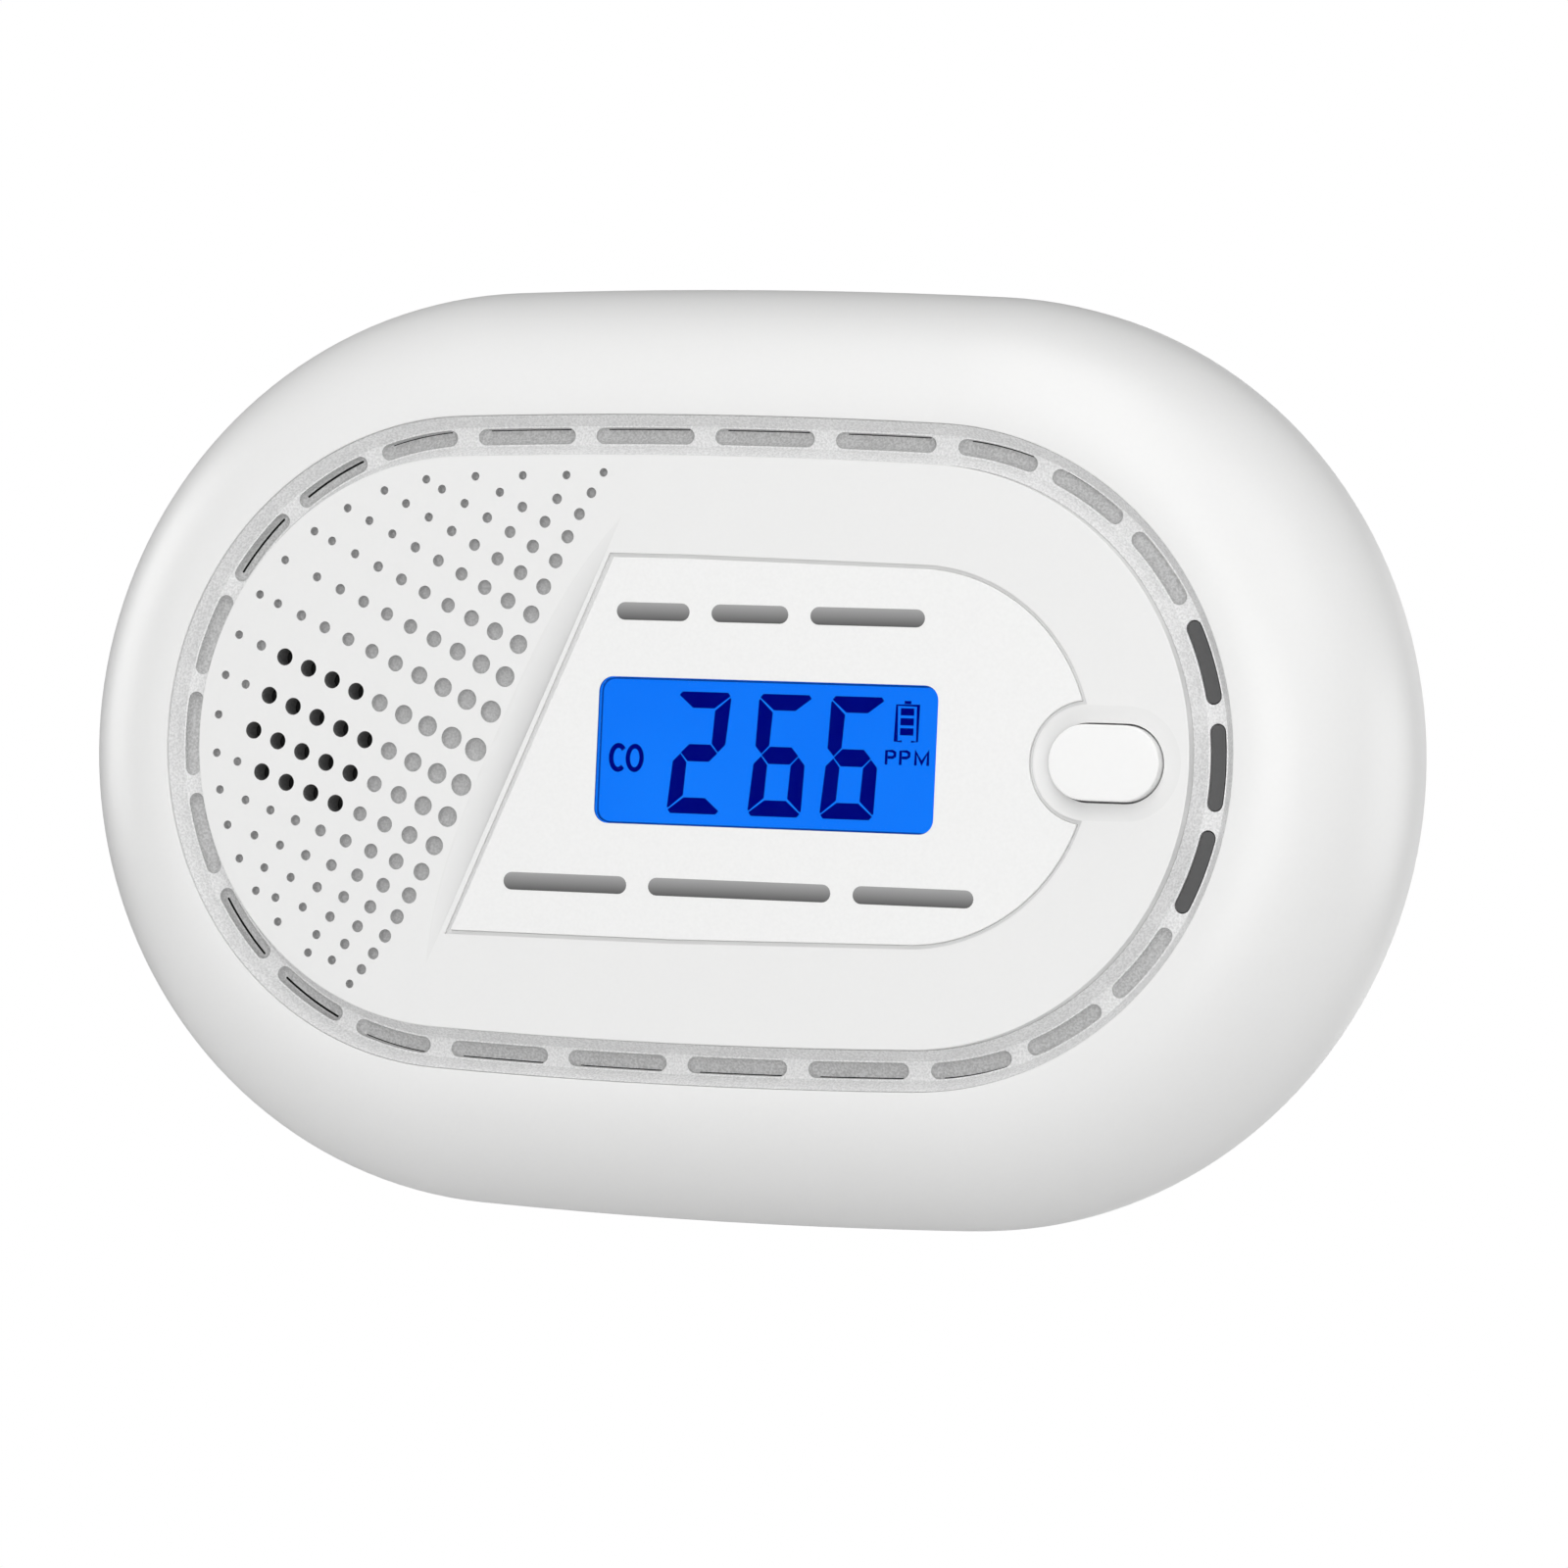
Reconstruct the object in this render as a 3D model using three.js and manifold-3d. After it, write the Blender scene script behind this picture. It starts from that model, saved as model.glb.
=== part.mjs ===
// A wall-mounted, battery-powered carbon monoxide alarm with a backlit display.
// Millimetres, +Z up, the face looks along -Y. The origin is the centre of the wall
// bracket's back face. Every "depth" is a distance from the wall, so y = -depth.
// Outlines are drawn in the face plane as (x, z), measured from the middle of the face.

import * as THREE from 'three';
import { mergeVertices } from 'three/addons/utils/BufferGeometryUtils.js';
import Module from 'manifold-3d';

const wasm = await Module();
wasm.setup();

// ---------------------------------------------------------------- driving dimensions

// The whole outline and every ring inside it belong to one family of four-arc ovals:
// two end arcs about (+-END_CENTRE, 0) and two long arcs that bow out by SIDE_CROWN.
const HALF_HEIGHT = 40;
const END_CENTRE = 21;
const SIDE_CROWN = 0.4;
const END_STEPS = 20;
const SIDE_STEPS = 2;

const GAP = 0.1; // between pieces that are pressed or stacked together
const CLEARANCE = 0.3; // between pieces that move past each other or are cut to fit
const THROUGH = 1; // how far a cutter runs past the wall it cuts

// Front cover
const RIM_BACK = 11.9;
const RIM_FRONT = 13.65;
const DOME_RUN = 11.6;
const DOME_FRONT = 27.25;
const DOME_STEPS = 8;
const COVER_WALL = 2.2;
const FACE_DEPTH = 28.05;
const FACE_WALL = 2;
const FACE_EDGE_BEVEL = 0.15;

// Ring channel between the dome and the face
const RING_OUTER_INSET = 11.76;
const RING_INNER_INSET = 15.23;
const RING_FLOOR_DEPTH = 25.75;
const RING_BEVEL = 0.88;
const RING_THICKNESS = 1;
const RING_TOP_DEPTH = 27.05;
const CHANNEL_WALL = 1.2;
const CHANNEL_FLOOR = 1.7;

// Slots in the ring: nine on each end arc, four on each long side
const SLOT_WIDTH = 1.4;
const END_SLOTS = 9;
const END_SLOT_PITCH_DEG = 19.4;
const END_SLOT_LENGTH = 7.3;
const SIDE_SLOT_X = [-16.5, -5.5, 5.5, 16.5];
const SIDE_SLOT_LENGTH = 9.1;
const LIGHT_SLOTS = [-1, 0, 1]; // the right-hand end slots that carry indicator lights
const VENT_SLOTS = [-3, -2, -1]; // the left-hand end slots, each side of the middle, that let air in
const VENT_WIDTH = 0.6;
const VENT_LENGTH = 5.8;

// Sound outlet: a fan of rows, of which only the middle ones are open
const GRILLE_ORIGIN = [-18.95, -0.6];
const GRILLE_COLUMN = { dx: -1.08, dz: -3.14, even: 0.014, odd: 0.094 };
const GRILLE_ROW_PITCH = 2.49;
const GRILLE_ROW_ANGLE_DEG = 21.8;
const GRILLE_FAN_DEG = 1;
const OPEN_ROWS = [[0, 5, 8], [1, 4, 8], [2, 4, 8], [3, 4, 7]]; // row, first and last hole
const OPEN_HOLE_RADIUS = 0.74;

// Display panel, window and test button
const PANEL_INSET = 23.95;
const PANEL_TOP_LEFT_X = -6.95;
const PANEL_BOTTOM_LEFT_X = -20.6;
const PANEL_THICKNESS = 0.95;
const PANEL_LINE = 0.3; // the visible joint line round the panel
const WINDOW_CENTRE = [7.7, -0.25];
const WINDOW_SIZE = [30.8, 12.4];
const WINDOW_RADIUS = 1.2;
const WINDOW_THICKNESS = 0.4;
const WINDOW_SINK = 0.1;
const BUTTON_CENTRE = [38.2, 0];
const BUTTON_SIZE = [9.7, 6.3];
const BUTTON_PROUD = 0.95;
const BUTTON_TRAVEL = 0.5;
const BUTTON_FLANGE = { grow: 0.8, thickness: 0.8 };
const BUTTON_STEM = { radius: 2, end: FACE_DEPTH - 3.45 };
const SWITCH = { half: 3.1, height: 2.6, bore: 1.95, plunger: 1.6, plungerLength: 1.8 };
const LOBE_MARGIN = 2;

// Display stack, from the panel back to the board
const LCD_SIZE = [33.4, 16];
const LCD_THICKNESS = 2.1;
const LCD_LEDGE = 1.5; // the rear glass shows its contacts below the fore glass
const BACKLIGHT = { halfWidth: 16.2, below: 5.6, above: 7.8, thickness: 2 };
const ZEBRA = { halfWidth: 15.5, bottom: 7.8, top: 6 };
const HOLDER_WALL = 1.5;
const LED = { baseWidth: 1.8, baseLength: 3.2, lensWidth: 1.4, lensLength: 2, lensFront: 1.2 };

// Board
const BOARD_INSET = 6;
const BOARD_BACK = 19.3;
const BOARD_FRONT = 20.9;
const BOARD_SCREWS = [[0, 30], [-24, -29.5], [24, -29.5]];
const CHIP = { x: [-6, 6], z: [9, 21], height: 1.5 };
const CRYSTAL = { centre: [15, 22], size: [8, 3.4], height: 2.6 };
const COIL = { centre: [-40, -9], flange: 5, core: 3.8, flangeHeight: 1.2, height: 7 };
const CAPACITOR = { centre: [-42, 4], radius: 4, groove: 0.3, height: 10.5 };

// Sounder on the board's face, and the gas sensor on its back
const HORN_CENTRE = [-33, 0.5];
const HORN = { radius: 10.5, seat: 9.6, chamber: 8.6, roof: 0.8, outlet: 2.6 };
const PIEZO = { plate: 9.3, ceramic: 6.5, layer: 0.3 };
const GASKET = { outer: 10.3, inner: 9.2, thickness: 0.7 };
const MESH = { radius: 9, thickness: 0.3 };
const SENSOR_CENTRE = [40, 3];
const SENSOR = { radius: 9, height: 9.6, cap: 8.6, capHeight: 1.6, neck: 4.2, neckHeight: 1.4, inlet: 1.2 };
const SEAL = { outer: 6.2, inner: 4.5 };

// Screws, the bosses they bite into and the posts their heads sink into
const COVER_SCREWS = [[44, 17], [-44, 17], [-44, -17], [44, -17]];
const COVER_SCREW = { head: 2.4, headHeight: 1.8, shaft: 1.2, length: 11 };
const BOARD_SCREW = { head: 2.1, headHeight: 1.2, shaft: 1, length: 3.6 };
const COVER_BOSS = { radius: 2.8, front: 24.4, pilot: 1.5, pilotFront: 20.5 };
const BOARD_BOSS = { radius: 2.4, front: 23.6, pilot: 1.25, pilotFront: 23.2 };
const SCREW_POST = { radius: 3.4, counterbore: 2.7, hole: 1.6, seat: 8.5 };

// Rear housing, battery bay and door
const HOUSING_BACK = 2.3;
const HOUSING_INSET = 7;
const HOUSING_WALL = 1.8;
const HOUSING_EDGE = 1.5;
const FLANGE_BACK = 12.1;
const FLANGE_FRONT = 13.5;
const BAY_FRONT = 17;
const BAY_HALF_LENGTH = 28;
const BAY_WALL = 1.2;
const BAY_TOP = 0.2;
const BAY_BOTTOM = -29.2;
const DOOR_HALF_WIDTH = 26.6;
const DOOR_TOP = -0.4;
const DOOR_THICKNESS = 1.6;
const DOOR_GAP = 0.4;
const HINGE = { z: -28.4, depth: 3.4, barrel: 1.1, pin: 0.65, bore: 0.95, halfLength: 20 };
const HINGE_EAR = { gap: 0.5, width: 3, below: 2, above: 1.3, front: 5.2 };
const DOOR_STIFFENER = { halfLength: 24, bottom: -15.3, top: -14, height: 3 };
const DOOR_TONGUE = { halfWidth: 6, height: 2, thickness: 1.1 };
const DOOR_GRIP = { halfWidth: 5, below: 5, above: 2, sink: 0.7 };
const SIDE_VENTS_X = [-18, -12, -6, 0, 6, 12, 18];
const SIDE_VENT = { halfWidth: 1, back: 5.5, front: 10.5 };
const PAD = { x: 34, z: -22, radius: 4.5 };

// AA cells, end to end in opposite directions
const CELL_RADIUS = 7.2;
const CELL_LENGTH = 50.5;
const CELL_DEPTH = 11.6;
const CELL_Z = [-7.4, -21.9];
const CELL_NUB = { radius: 2.7, height: 1 };
const SPRING = { length: 2.7, turns: 3, wide: 3.4, narrow: 2.2, wire: 0.3 };
const CONTACT = { thickness: 0.4, back: 6.5, front: 16.5 };

// Wall bracket, centred BRACKET_RISE above the middle of the face
const BRACKET_RISE = 14;
const BRACKET_SIZE = [60, 22];
const BRACKET_THICKNESS = 2;
const HOOK_X = 22;
const HOOK_WIDTH = 5.6;
const HOOK_STEM = 2.5;
const HOOK_HEIGHT = 7;
const HOOK_BOTTOM = -1; // from the bracket's centre
const HOOK_THICKNESS = 1.6;
const HOOK_SIDE_GAP = 0.4;
const BRACKET_HOLE = { radius: 2.1, head: 3.8, sink: 0.9 };
const LIFT = 8;

// ---------------------------------------------------------------- materials

function material(color, roughness, metalness = 0) {
  return new THREE.MeshStandardMaterial({ color, roughness, metalness });
}

const SHELL_WHITE = material(0xf2f2f1, 0.35);
const RING_WHITE = material(0xd6d6d5, 0.7);
const PANEL_WHITE = material(0xf6f6f5, 0.45);
const REAR_WHITE = material(0xececea, 0.55);
const BRACKET_WHITE = material(0xe6e6e3, 0.6);
const SMOKED = material(0x4c4c4c, 0.25);
const CLEAR = material(0xbfd6ef, 0.05);
const LCD_BLUE = material(0x1a7aff, 0.2);
const LIGHT_GUIDE = material(0xe9f1fb, 0.3);
const BOARD_GREEN = material(0x1f6b3a, 0.5);
const BLACK_PLASTIC = material(0x1c1c1e, 0.5);
const GREY_RUBBER = material(0x3a3b3d, 0.85);
const STEEL = material(0xb9bcc0, 0.35, 1);
const BRASS = material(0xc8a24a, 0.35, 1);
const CELL_WRAP = material(0x2b4a6b, 0.4);
const MESH_GREY = material(0x55585b, 0.7);

// ---------------------------------------------------------------- solids

function toSolid(geometry) {
  const bare = geometry.index ? geometry.toNonIndexed() : geometry.clone();
  bare.deleteAttribute('normal');
  bare.deleteAttribute('uv');
  const merged = mergeVertices(bare, 1e-4);
  const solid = new wasm.Manifold(new wasm.Mesh({
    numProp: 3,
    vertProperties: new Float32Array(merged.attributes.position.array),
    triVerts: new Uint32Array(merged.index.array),
  }));
  return solid;
}

function toGeometry(solid) {
  const mesh = solid.getMesh();
  const geometry = new THREE.BufferGeometry();
  geometry.setAttribute('position', new THREE.BufferAttribute(mesh.vertProperties, 3));
  geometry.setIndex(new THREE.BufferAttribute(mesh.triVerts, 1));
  return geometry;
}

function cut(solid, ...cutters) {
  return cutters.reduce((rest, cutter) => rest.subtract(cutter), solid);
}

function join(...solids) {
  return solids.reduce((whole, solid) => whole.add(solid));
}

// Extrudes a face-plane outline between two depths.
function plate(shape, back, front, curveSegments = 6) {
  const geometry = new THREE.ExtrudeGeometry(shape, {
    depth: front - back, bevelEnabled: false, curveSegments,
  });
  geometry.translate(0, 0, back);
  geometry.rotateX(Math.PI / 2);
  return toSolid(geometry);
}

function block(x0, x1, z0, z1, back, front) {
  const geometry = new THREE.BoxGeometry(x1 - x0, front - back, z1 - z0);
  geometry.translate((x0 + x1) / 2, -(back + front) / 2, (z0 + z1) / 2);
  return toSolid(geometry);
}

function rod(x, z, radius, back, front, sides = 16) {
  const geometry = new THREE.CylinderGeometry(radius, radius, front - back, sides);
  geometry.translate(x, -(back + front) / 2, z);
  return toSolid(geometry);
}

// A cylinder that lies along X.
function barAlongX(x0, x1, z, depth, radius, sides = 16) {
  const geometry = new THREE.CylinderGeometry(radius, radius, x1 - x0, sides);
  geometry.rotateZ(Math.PI / 2);
  geometry.translate((x0 + x1) / 2, -depth, z);
  return toSolid(geometry);
}

// ---------------------------------------------------------------- outlines

// Centre line data of the oval family: the long arcs' centres lie LONG_ARC_OFFSET beyond
// the middle, and their radius is the end radius plus LONG_ARC_EXTRA.
const LONG_ARC_OFFSET = (END_CENTRE ** 2 - SIDE_CROWN ** 2) / (2 * SIDE_CROWN);
const LONG_ARC_EXTRA = LONG_ARC_OFFSET + SIDE_CROWN;
const LONG_ARC_HALF = Math.asin(END_CENTRE / LONG_ARC_EXTRA);

function endRadius(inset) {
  return HALF_HEIGHT - SIDE_CROWN - inset;
}

// The oval's points, anticlockwise from the lower end of the right-hand arc.
function ovalPoints(inset) {
  const points = [];
  const arcs = [
    { x: END_CENTRE, z: 0, r: endRadius(inset), mid: 0, half: Math.PI / 2 - LONG_ARC_HALF, steps: END_STEPS },
    { x: 0, z: -LONG_ARC_OFFSET, r: endRadius(inset) + LONG_ARC_EXTRA, mid: Math.PI / 2, half: LONG_ARC_HALF,
      steps: SIDE_STEPS },
    { x: -END_CENTRE, z: 0, r: endRadius(inset), mid: Math.PI, half: Math.PI / 2 - LONG_ARC_HALF,
      steps: END_STEPS },
    { x: 0, z: LONG_ARC_OFFSET, r: endRadius(inset) + LONG_ARC_EXTRA, mid: 1.5 * Math.PI, half: LONG_ARC_HALF,
      steps: SIDE_STEPS },
  ];
  for (const arc of arcs) {
    for (let i = 0; i < arc.steps; i += 1) {
      const angle = arc.mid + arc.half * (2 * i / arc.steps - 1);
      points.push([arc.x + arc.r * Math.cos(angle), arc.z + arc.r * Math.sin(angle)]);
    }
  }
  return points;
}

// Twice the area inside a section, whose sign tells which way round it runs.
function sectionTurn(section) {
  return section.reduce((sum, [inset, depth], i) => {
    const [nextInset, nextDepth] = section[(i + 1) % section.length];
    return sum + inset * nextDepth - nextInset * depth;
  }, 0);
}

// Joins ovals of different inset and depth into a closed skin that faces outwards. A closed
// section makes a ring; an open one is capped flat at both ends.
function ovalSkin(section, closed) {
  const ends = [[HALF_HEIGHT, section[section.length - 1][1]], [HALF_HEIGHT, section[0][1]]];
  const outwards = sectionTurn(closed ? section : [...section, ...ends]) < 0;
  const profile = outwards ? section : [...section].reverse();
  const loops = profile.map(([inset, depth]) => ovalPoints(inset).map(([x, z]) => [x, -depth, z]));
  const count = loops[0].length;
  const triangles = [];
  const strips = closed ? loops.length : loops.length - 1;
  for (let i = 0; i < strips; i += 1) {
    const here = loops[i];
    const next = loops[(i + 1) % loops.length];
    for (let j = 0; j < count; j += 1) {
      const k = (j + 1) % count;
      triangles.push(here[j], here[k], next[k], here[j], next[k], next[j]);
    }
  }
  if (!closed) {
    const first = loops[0];
    const last = loops[loops.length - 1];
    const firstMiddle = [0, first[0][1], 0];
    const lastMiddle = [0, last[0][1], 0];
    for (let j = 0; j < count; j += 1) {
      const k = (j + 1) % count;
      triangles.push(firstMiddle, first[k], first[j]);
      triangles.push(lastMiddle, last[j], last[k]);
    }
  }
  const geometry = new THREE.BufferGeometry();
  geometry.setAttribute('position', new THREE.Float32BufferAttribute(triangles.flat(), 3));
  return toSolid(geometry);
}

function obround([x, z], [width, height], grow = 0) {
  const radius = height / 2 + grow;
  const reach = (width - height) / 2;
  const shape = new THREE.Shape();
  shape.absarc(x + reach, z, radius, -Math.PI / 2, Math.PI / 2);
  shape.absarc(x - reach, z, radius, Math.PI / 2, 1.5 * Math.PI);
  return shape;
}

function roundedRectangle([x, z], [width, height], radius) {
  const right = x + width / 2 - radius;
  const left = x - width / 2 + radius;
  const top = z + height / 2 - radius;
  const bottom = z - height / 2 + radius;
  const shape = new THREE.Shape();
  shape.absarc(right, bottom, radius, -Math.PI / 2, 0);
  shape.absarc(right, top, radius, 0, Math.PI / 2);
  shape.absarc(left, top, radius, Math.PI / 2, Math.PI);
  shape.absarc(left, bottom, radius, Math.PI, 1.5 * Math.PI);
  return shape;
}

// A round-ended slot that follows an end arc; side is +1 on the right, -1 on the left.
function endSlot(side, index, inset, length, width) {
  const radius = endRadius(inset);
  const middle = (side > 0 ? 0 : Math.PI) + side * THREE.MathUtils.degToRad(index * END_SLOT_PITCH_DEG);
  const half = (length - width) / 2 / radius;
  const centre = side * END_CENTRE;
  const endX = (angle) => centre + radius * Math.cos(angle);
  const endZ = (angle) => radius * Math.sin(angle);
  const start = middle - half;
  const stop = middle + half;
  const shape = new THREE.Shape();
  shape.absarc(centre, 0, radius + width / 2, start, stop);
  shape.absarc(endX(stop), endZ(stop), width / 2, stop, stop + Math.PI);
  shape.absarc(centre, 0, radius - width / 2, stop, start, true);
  shape.absarc(endX(start), endZ(start), width / 2, start + Math.PI, start + 2 * Math.PI);
  return shape;
}

function sideSlot(side, x, inset, length, width) {
  const z = endRadius(inset) + SIDE_CROWN - x ** 2 / (2 * LONG_ARC_EXTRA);
  return obround([x, side * z], [length, width]);
}

// The panel: slanted on the left, an arc of the oval family on the right, and a scoop
// that leaves room for the button's surround.
function panelShape(grow) {
  const inset = PANEL_INSET - grow;
  const radius = endRadius(inset);
  const top = radius + SIDE_CROWN;
  const scoopX = BUTTON_CENTRE[0] - (BUTTON_SIZE[0] - BUTTON_SIZE[1]) / 2;
  const scoopRadius = BUTTON_SIZE[1] / 2 + LOBE_MARGIN - grow;
  const reach = scoopX - END_CENTRE;
  const along = (radius ** 2 - scoopRadius ** 2 + reach ** 2) / (2 * reach);
  const cusp = Math.acos(along / radius);
  const cuspFromScoop = Math.PI - Math.acos((reach - along) / scoopRadius);
  const shape = new THREE.Shape();
  shape.moveTo(PANEL_TOP_LEFT_X - grow, top);
  shape.lineTo(PANEL_BOTTOM_LEFT_X - 1.5 * grow, -top);
  shape.lineTo(0, -top);
  shape.absarc(END_CENTRE, 0, radius, -Math.PI / 2 + LONG_ARC_HALF, -cusp);
  shape.absarc(scoopX, 0, scoopRadius, -cuspFromScoop, cuspFromScoop, true);
  shape.absarc(END_CENTRE, 0, radius, cusp, Math.PI / 2 - LONG_ARC_HALF);
  shape.lineTo(0, top);
  return shape;
}

// ---------------------------------------------------------------- covers and face

function coverProfile() {
  const profile = [
    [RING_INNER_INSET + FACE_EDGE_BEVEL, FACE_DEPTH],
    [RING_INNER_INSET, FACE_DEPTH - FACE_EDGE_BEVEL],
    [RING_INNER_INSET, RING_FLOOR_DEPTH - RING_THICKNESS - GAP],
    [RING_OUTER_INSET, RING_FLOOR_DEPTH - RING_THICKNESS - GAP],
    [RING_OUTER_INSET, DOME_FRONT],
  ];
  const rise = DOME_FRONT - RIM_FRONT;
  for (let i = 0; i <= DOME_STEPS; i += 1) {
    const angle = (Math.PI / 2) * (1 - i / DOME_STEPS);
    profile.push([DOME_RUN * (1 - Math.cos(angle)), RIM_FRONT + rise * Math.sin(angle)]);
  }
  profile.push([0, RIM_BACK], [COVER_WALL, RIM_BACK]);
  const channelInset = RING_OUTER_INSET - CHANNEL_WALL;
  const run = DOME_RUN - COVER_WALL;
  for (let i = 0; i < DOME_STEPS; i += 1) {
    const inset = COVER_WALL + run * (1 - Math.cos((Math.PI / 2) * (i / DOME_STEPS)));
    if (inset < channelInset) {
      const height = (rise - COVER_WALL) * Math.sin((Math.PI / 2) * (i / DOME_STEPS));
      profile.push([inset, RIM_FRONT + height]);
    }
  }
  const channelBack = RING_FLOOR_DEPTH - RING_THICKNESS - GAP - CHANNEL_FLOOR;
  profile.push([channelInset, channelBack]);
  profile.push([RING_INNER_INSET + CHANNEL_WALL, channelBack]);
  profile.push([RING_INNER_INSET + CHANNEL_WALL, FACE_DEPTH - FACE_WALL]);
  return profile;
}

function grilleHole(row, column) {
  const { dx, dz, even, odd } = GRILLE_COLUMN;
  const startX = GRILLE_ORIGIN[0] + dx * row;
  const startZ = GRILLE_ORIGIN[1] + dz * row + even * row ** 2 + odd * row * Math.abs(row);
  const angle = THREE.MathUtils.degToRad(GRILLE_ROW_ANGLE_DEG - GRILLE_FAN_DEG * row);
  const reach = GRILLE_ROW_PITCH * column;
  return [startX - reach * Math.cos(angle), startZ + reach * Math.sin(angle)];
}

function openGrilleHoles() {
  const holes = [];
  for (const [row, first, last] of OPEN_ROWS) {
    for (let column = first; column <= last; column += 1) {
      holes.push(grilleHole(row, column));
    }
  }
  return holes;
}

const RING_MIDDLE_INSET = (RING_OUTER_INSET + RING_INNER_INSET) / 2;

function frontCover() {
  const back = BOARD_FRONT + GAP;
  const front = FACE_DEPTH + THROUGH;
  const channelTop = RING_FLOOR_DEPTH - THROUGH / 4;
  const bosses = [
    ...COVER_SCREWS.map(([x, z]) => rod(x, z, COVER_BOSS.radius, FLANGE_FRONT + CLEARANCE, COVER_BOSS.front)),
    ...BOARD_SCREWS.map(([x, z]) => rod(x, z, BOARD_BOSS.radius, back, BOARD_BOSS.front)),
  ];
  const pilots = [
    ...COVER_SCREWS.map(([x, z]) => rod(x, z, COVER_BOSS.pilot, FLANGE_FRONT, COVER_BOSS.pilotFront, 10)),
    ...BOARD_SCREWS.map(([x, z]) => (
      rod(x, z, BOARD_BOSS.pilot, back - THROUGH, BOARD_BOSS.pilotFront, 10)
    )),
  ];
  const lightCuts = LIGHT_SLOTS.map((index) => plate(
    endSlot(1, index, RING_MIDDLE_INSET, END_SLOT_LENGTH + 0.4, SLOT_WIDTH + 0.4),
    back, channelTop, 3,
  ));
  const ventCuts = [...VENT_SLOTS, ...VENT_SLOTS.map((index) => -index)].map((index) => plate(
    endSlot(-1, index, RING_MIDDLE_INSET - (SLOT_WIDTH - VENT_WIDTH) / 2, VENT_LENGTH, VENT_WIDTH),
    back, channelTop, 2,
  ));
  const windowCut = plate(
    roundedRectangle(WINDOW_CENTRE, [LCD_SIZE[0] + 1, LCD_SIZE[1] + 1], 0.5), back, front, 2,
  );
  const recess = plate(panelShape(PANEL_LINE), FACE_DEPTH - PANEL_THICKNESS - GAP, front, 10);
  const buttonCut = plate(obround(BUTTON_CENTRE, BUTTON_SIZE, CLEARANCE - 0.05), back, front, 8);
  const holes = openGrilleHoles().map(([x, z]) => rod(x, z, OPEN_HOLE_RADIUS, back, front, 8));
  const shell = join(ovalSkin(coverProfile(), false), ...bosses);
  return cut(shell, ...pilots, ...lightCuts, ...ventCuts, windowCut, recess, buttonCut, ...holes);
}

function ventRing() {
  const back = RING_FLOOR_DEPTH - RING_THICKNESS;
  const outer = RING_OUTER_INSET + GAP;
  const inner = RING_INNER_INSET - GAP;
  const ring = ovalSkin([
    [outer, back],
    [outer, RING_TOP_DEPTH],
    [outer + RING_BEVEL, RING_FLOOR_DEPTH],
    [inner - RING_BEVEL, RING_FLOOR_DEPTH],
    [inner, RING_TOP_DEPTH],
    [inner, back],
  ], true);
  const slots = [];
  const half = (END_SLOTS - 1) / 2;
  for (const side of [1, -1]) {
    for (let index = -half; index <= half; index += 1) {
      slots.push(endSlot(side, index, RING_MIDDLE_INSET, END_SLOT_LENGTH, SLOT_WIDTH));
    }
    for (const x of SIDE_SLOT_X) {
      slots.push(sideSlot(side, x, RING_MIDDLE_INSET, SIDE_SLOT_LENGTH, SLOT_WIDTH));
    }
  }
  return cut(ring, ...slots.map((shape) => plate(shape, back - THROUGH, RING_FLOOR_DEPTH + 0.1, 3)));
}

function lightPipe(index) {
  const shape = endSlot(1, index, RING_MIDDLE_INSET, END_SLOT_LENGTH - 2 * GAP, SLOT_WIDTH - 2 * GAP);
  return plate(shape, BOARD_FRONT + 1.4, RING_FLOOR_DEPTH - 0.05, 4);
}

function displayPanel() {
  const panel = plate(panelShape(0), FACE_DEPTH - PANEL_THICKNESS, FACE_DEPTH, 12);
  const opening = roundedRectangle(WINDOW_CENTRE, WINDOW_SIZE, WINDOW_RADIUS);
  return cut(panel, plate(opening, FACE_DEPTH - 2 * PANEL_THICKNESS, FACE_DEPTH + THROUGH, 4));
}

function displayWindow() {
  const size = WINDOW_SIZE.map((length) => length - 2 * GAP);
  const shape = roundedRectangle(WINDOW_CENTRE, size, WINDOW_RADIUS - GAP);
  const front = FACE_DEPTH - WINDOW_SINK;
  return plate(shape, front - WINDOW_THICKNESS, front, 4);
}

function testButton() {
  const under = FACE_DEPTH - FACE_WALL - CLEARANCE;
  const back = under - BUTTON_FLANGE.thickness;
  const [x, z] = BUTTON_CENTRE;
  const cap = plate(obround(BUTTON_CENTRE, BUTTON_SIZE), back, FACE_DEPTH + BUTTON_PROUD, 8);
  const flange = plate(obround(BUTTON_CENTRE, BUTTON_SIZE, BUTTON_FLANGE.grow), back, under, 6);
  const stem = rod(x, z, BUTTON_STEM.radius, BUTTON_STEM.end, under, 12);
  return join(cap, flange, stem);
}

// ---------------------------------------------------------------- display stack and switch

function lcdFront() {
  return FACE_DEPTH - PANEL_THICKNESS - GAP;
}

// Two sheets of glass, and a polariser that fills the panel's opening behind the window.
function lcdCell() {
  const [x, z] = WINDOW_CENTRE;
  const [width, height] = LCD_SIZE.map((length) => length / 2);
  const front = lcdFront();
  const middle = front - LCD_THICKNESS / 2;
  const rear = block(x - width, x + width, z - height, z + height, front - LCD_THICKNESS, middle);
  const fore = block(x - width, x + width, z - height + LCD_LEDGE, z + height, middle, front);
  const size = WINDOW_SIZE.map((length) => length - 2 * CLEARANCE);
  const outline = roundedRectangle(WINDOW_CENTRE, size, WINDOW_RADIUS - CLEARANCE);
  const windowBack = FACE_DEPTH - WINDOW_SINK - WINDOW_THICKNESS;
  return join(rear, fore, plate(outline, front, windowBack - GAP, 3));
}

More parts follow.
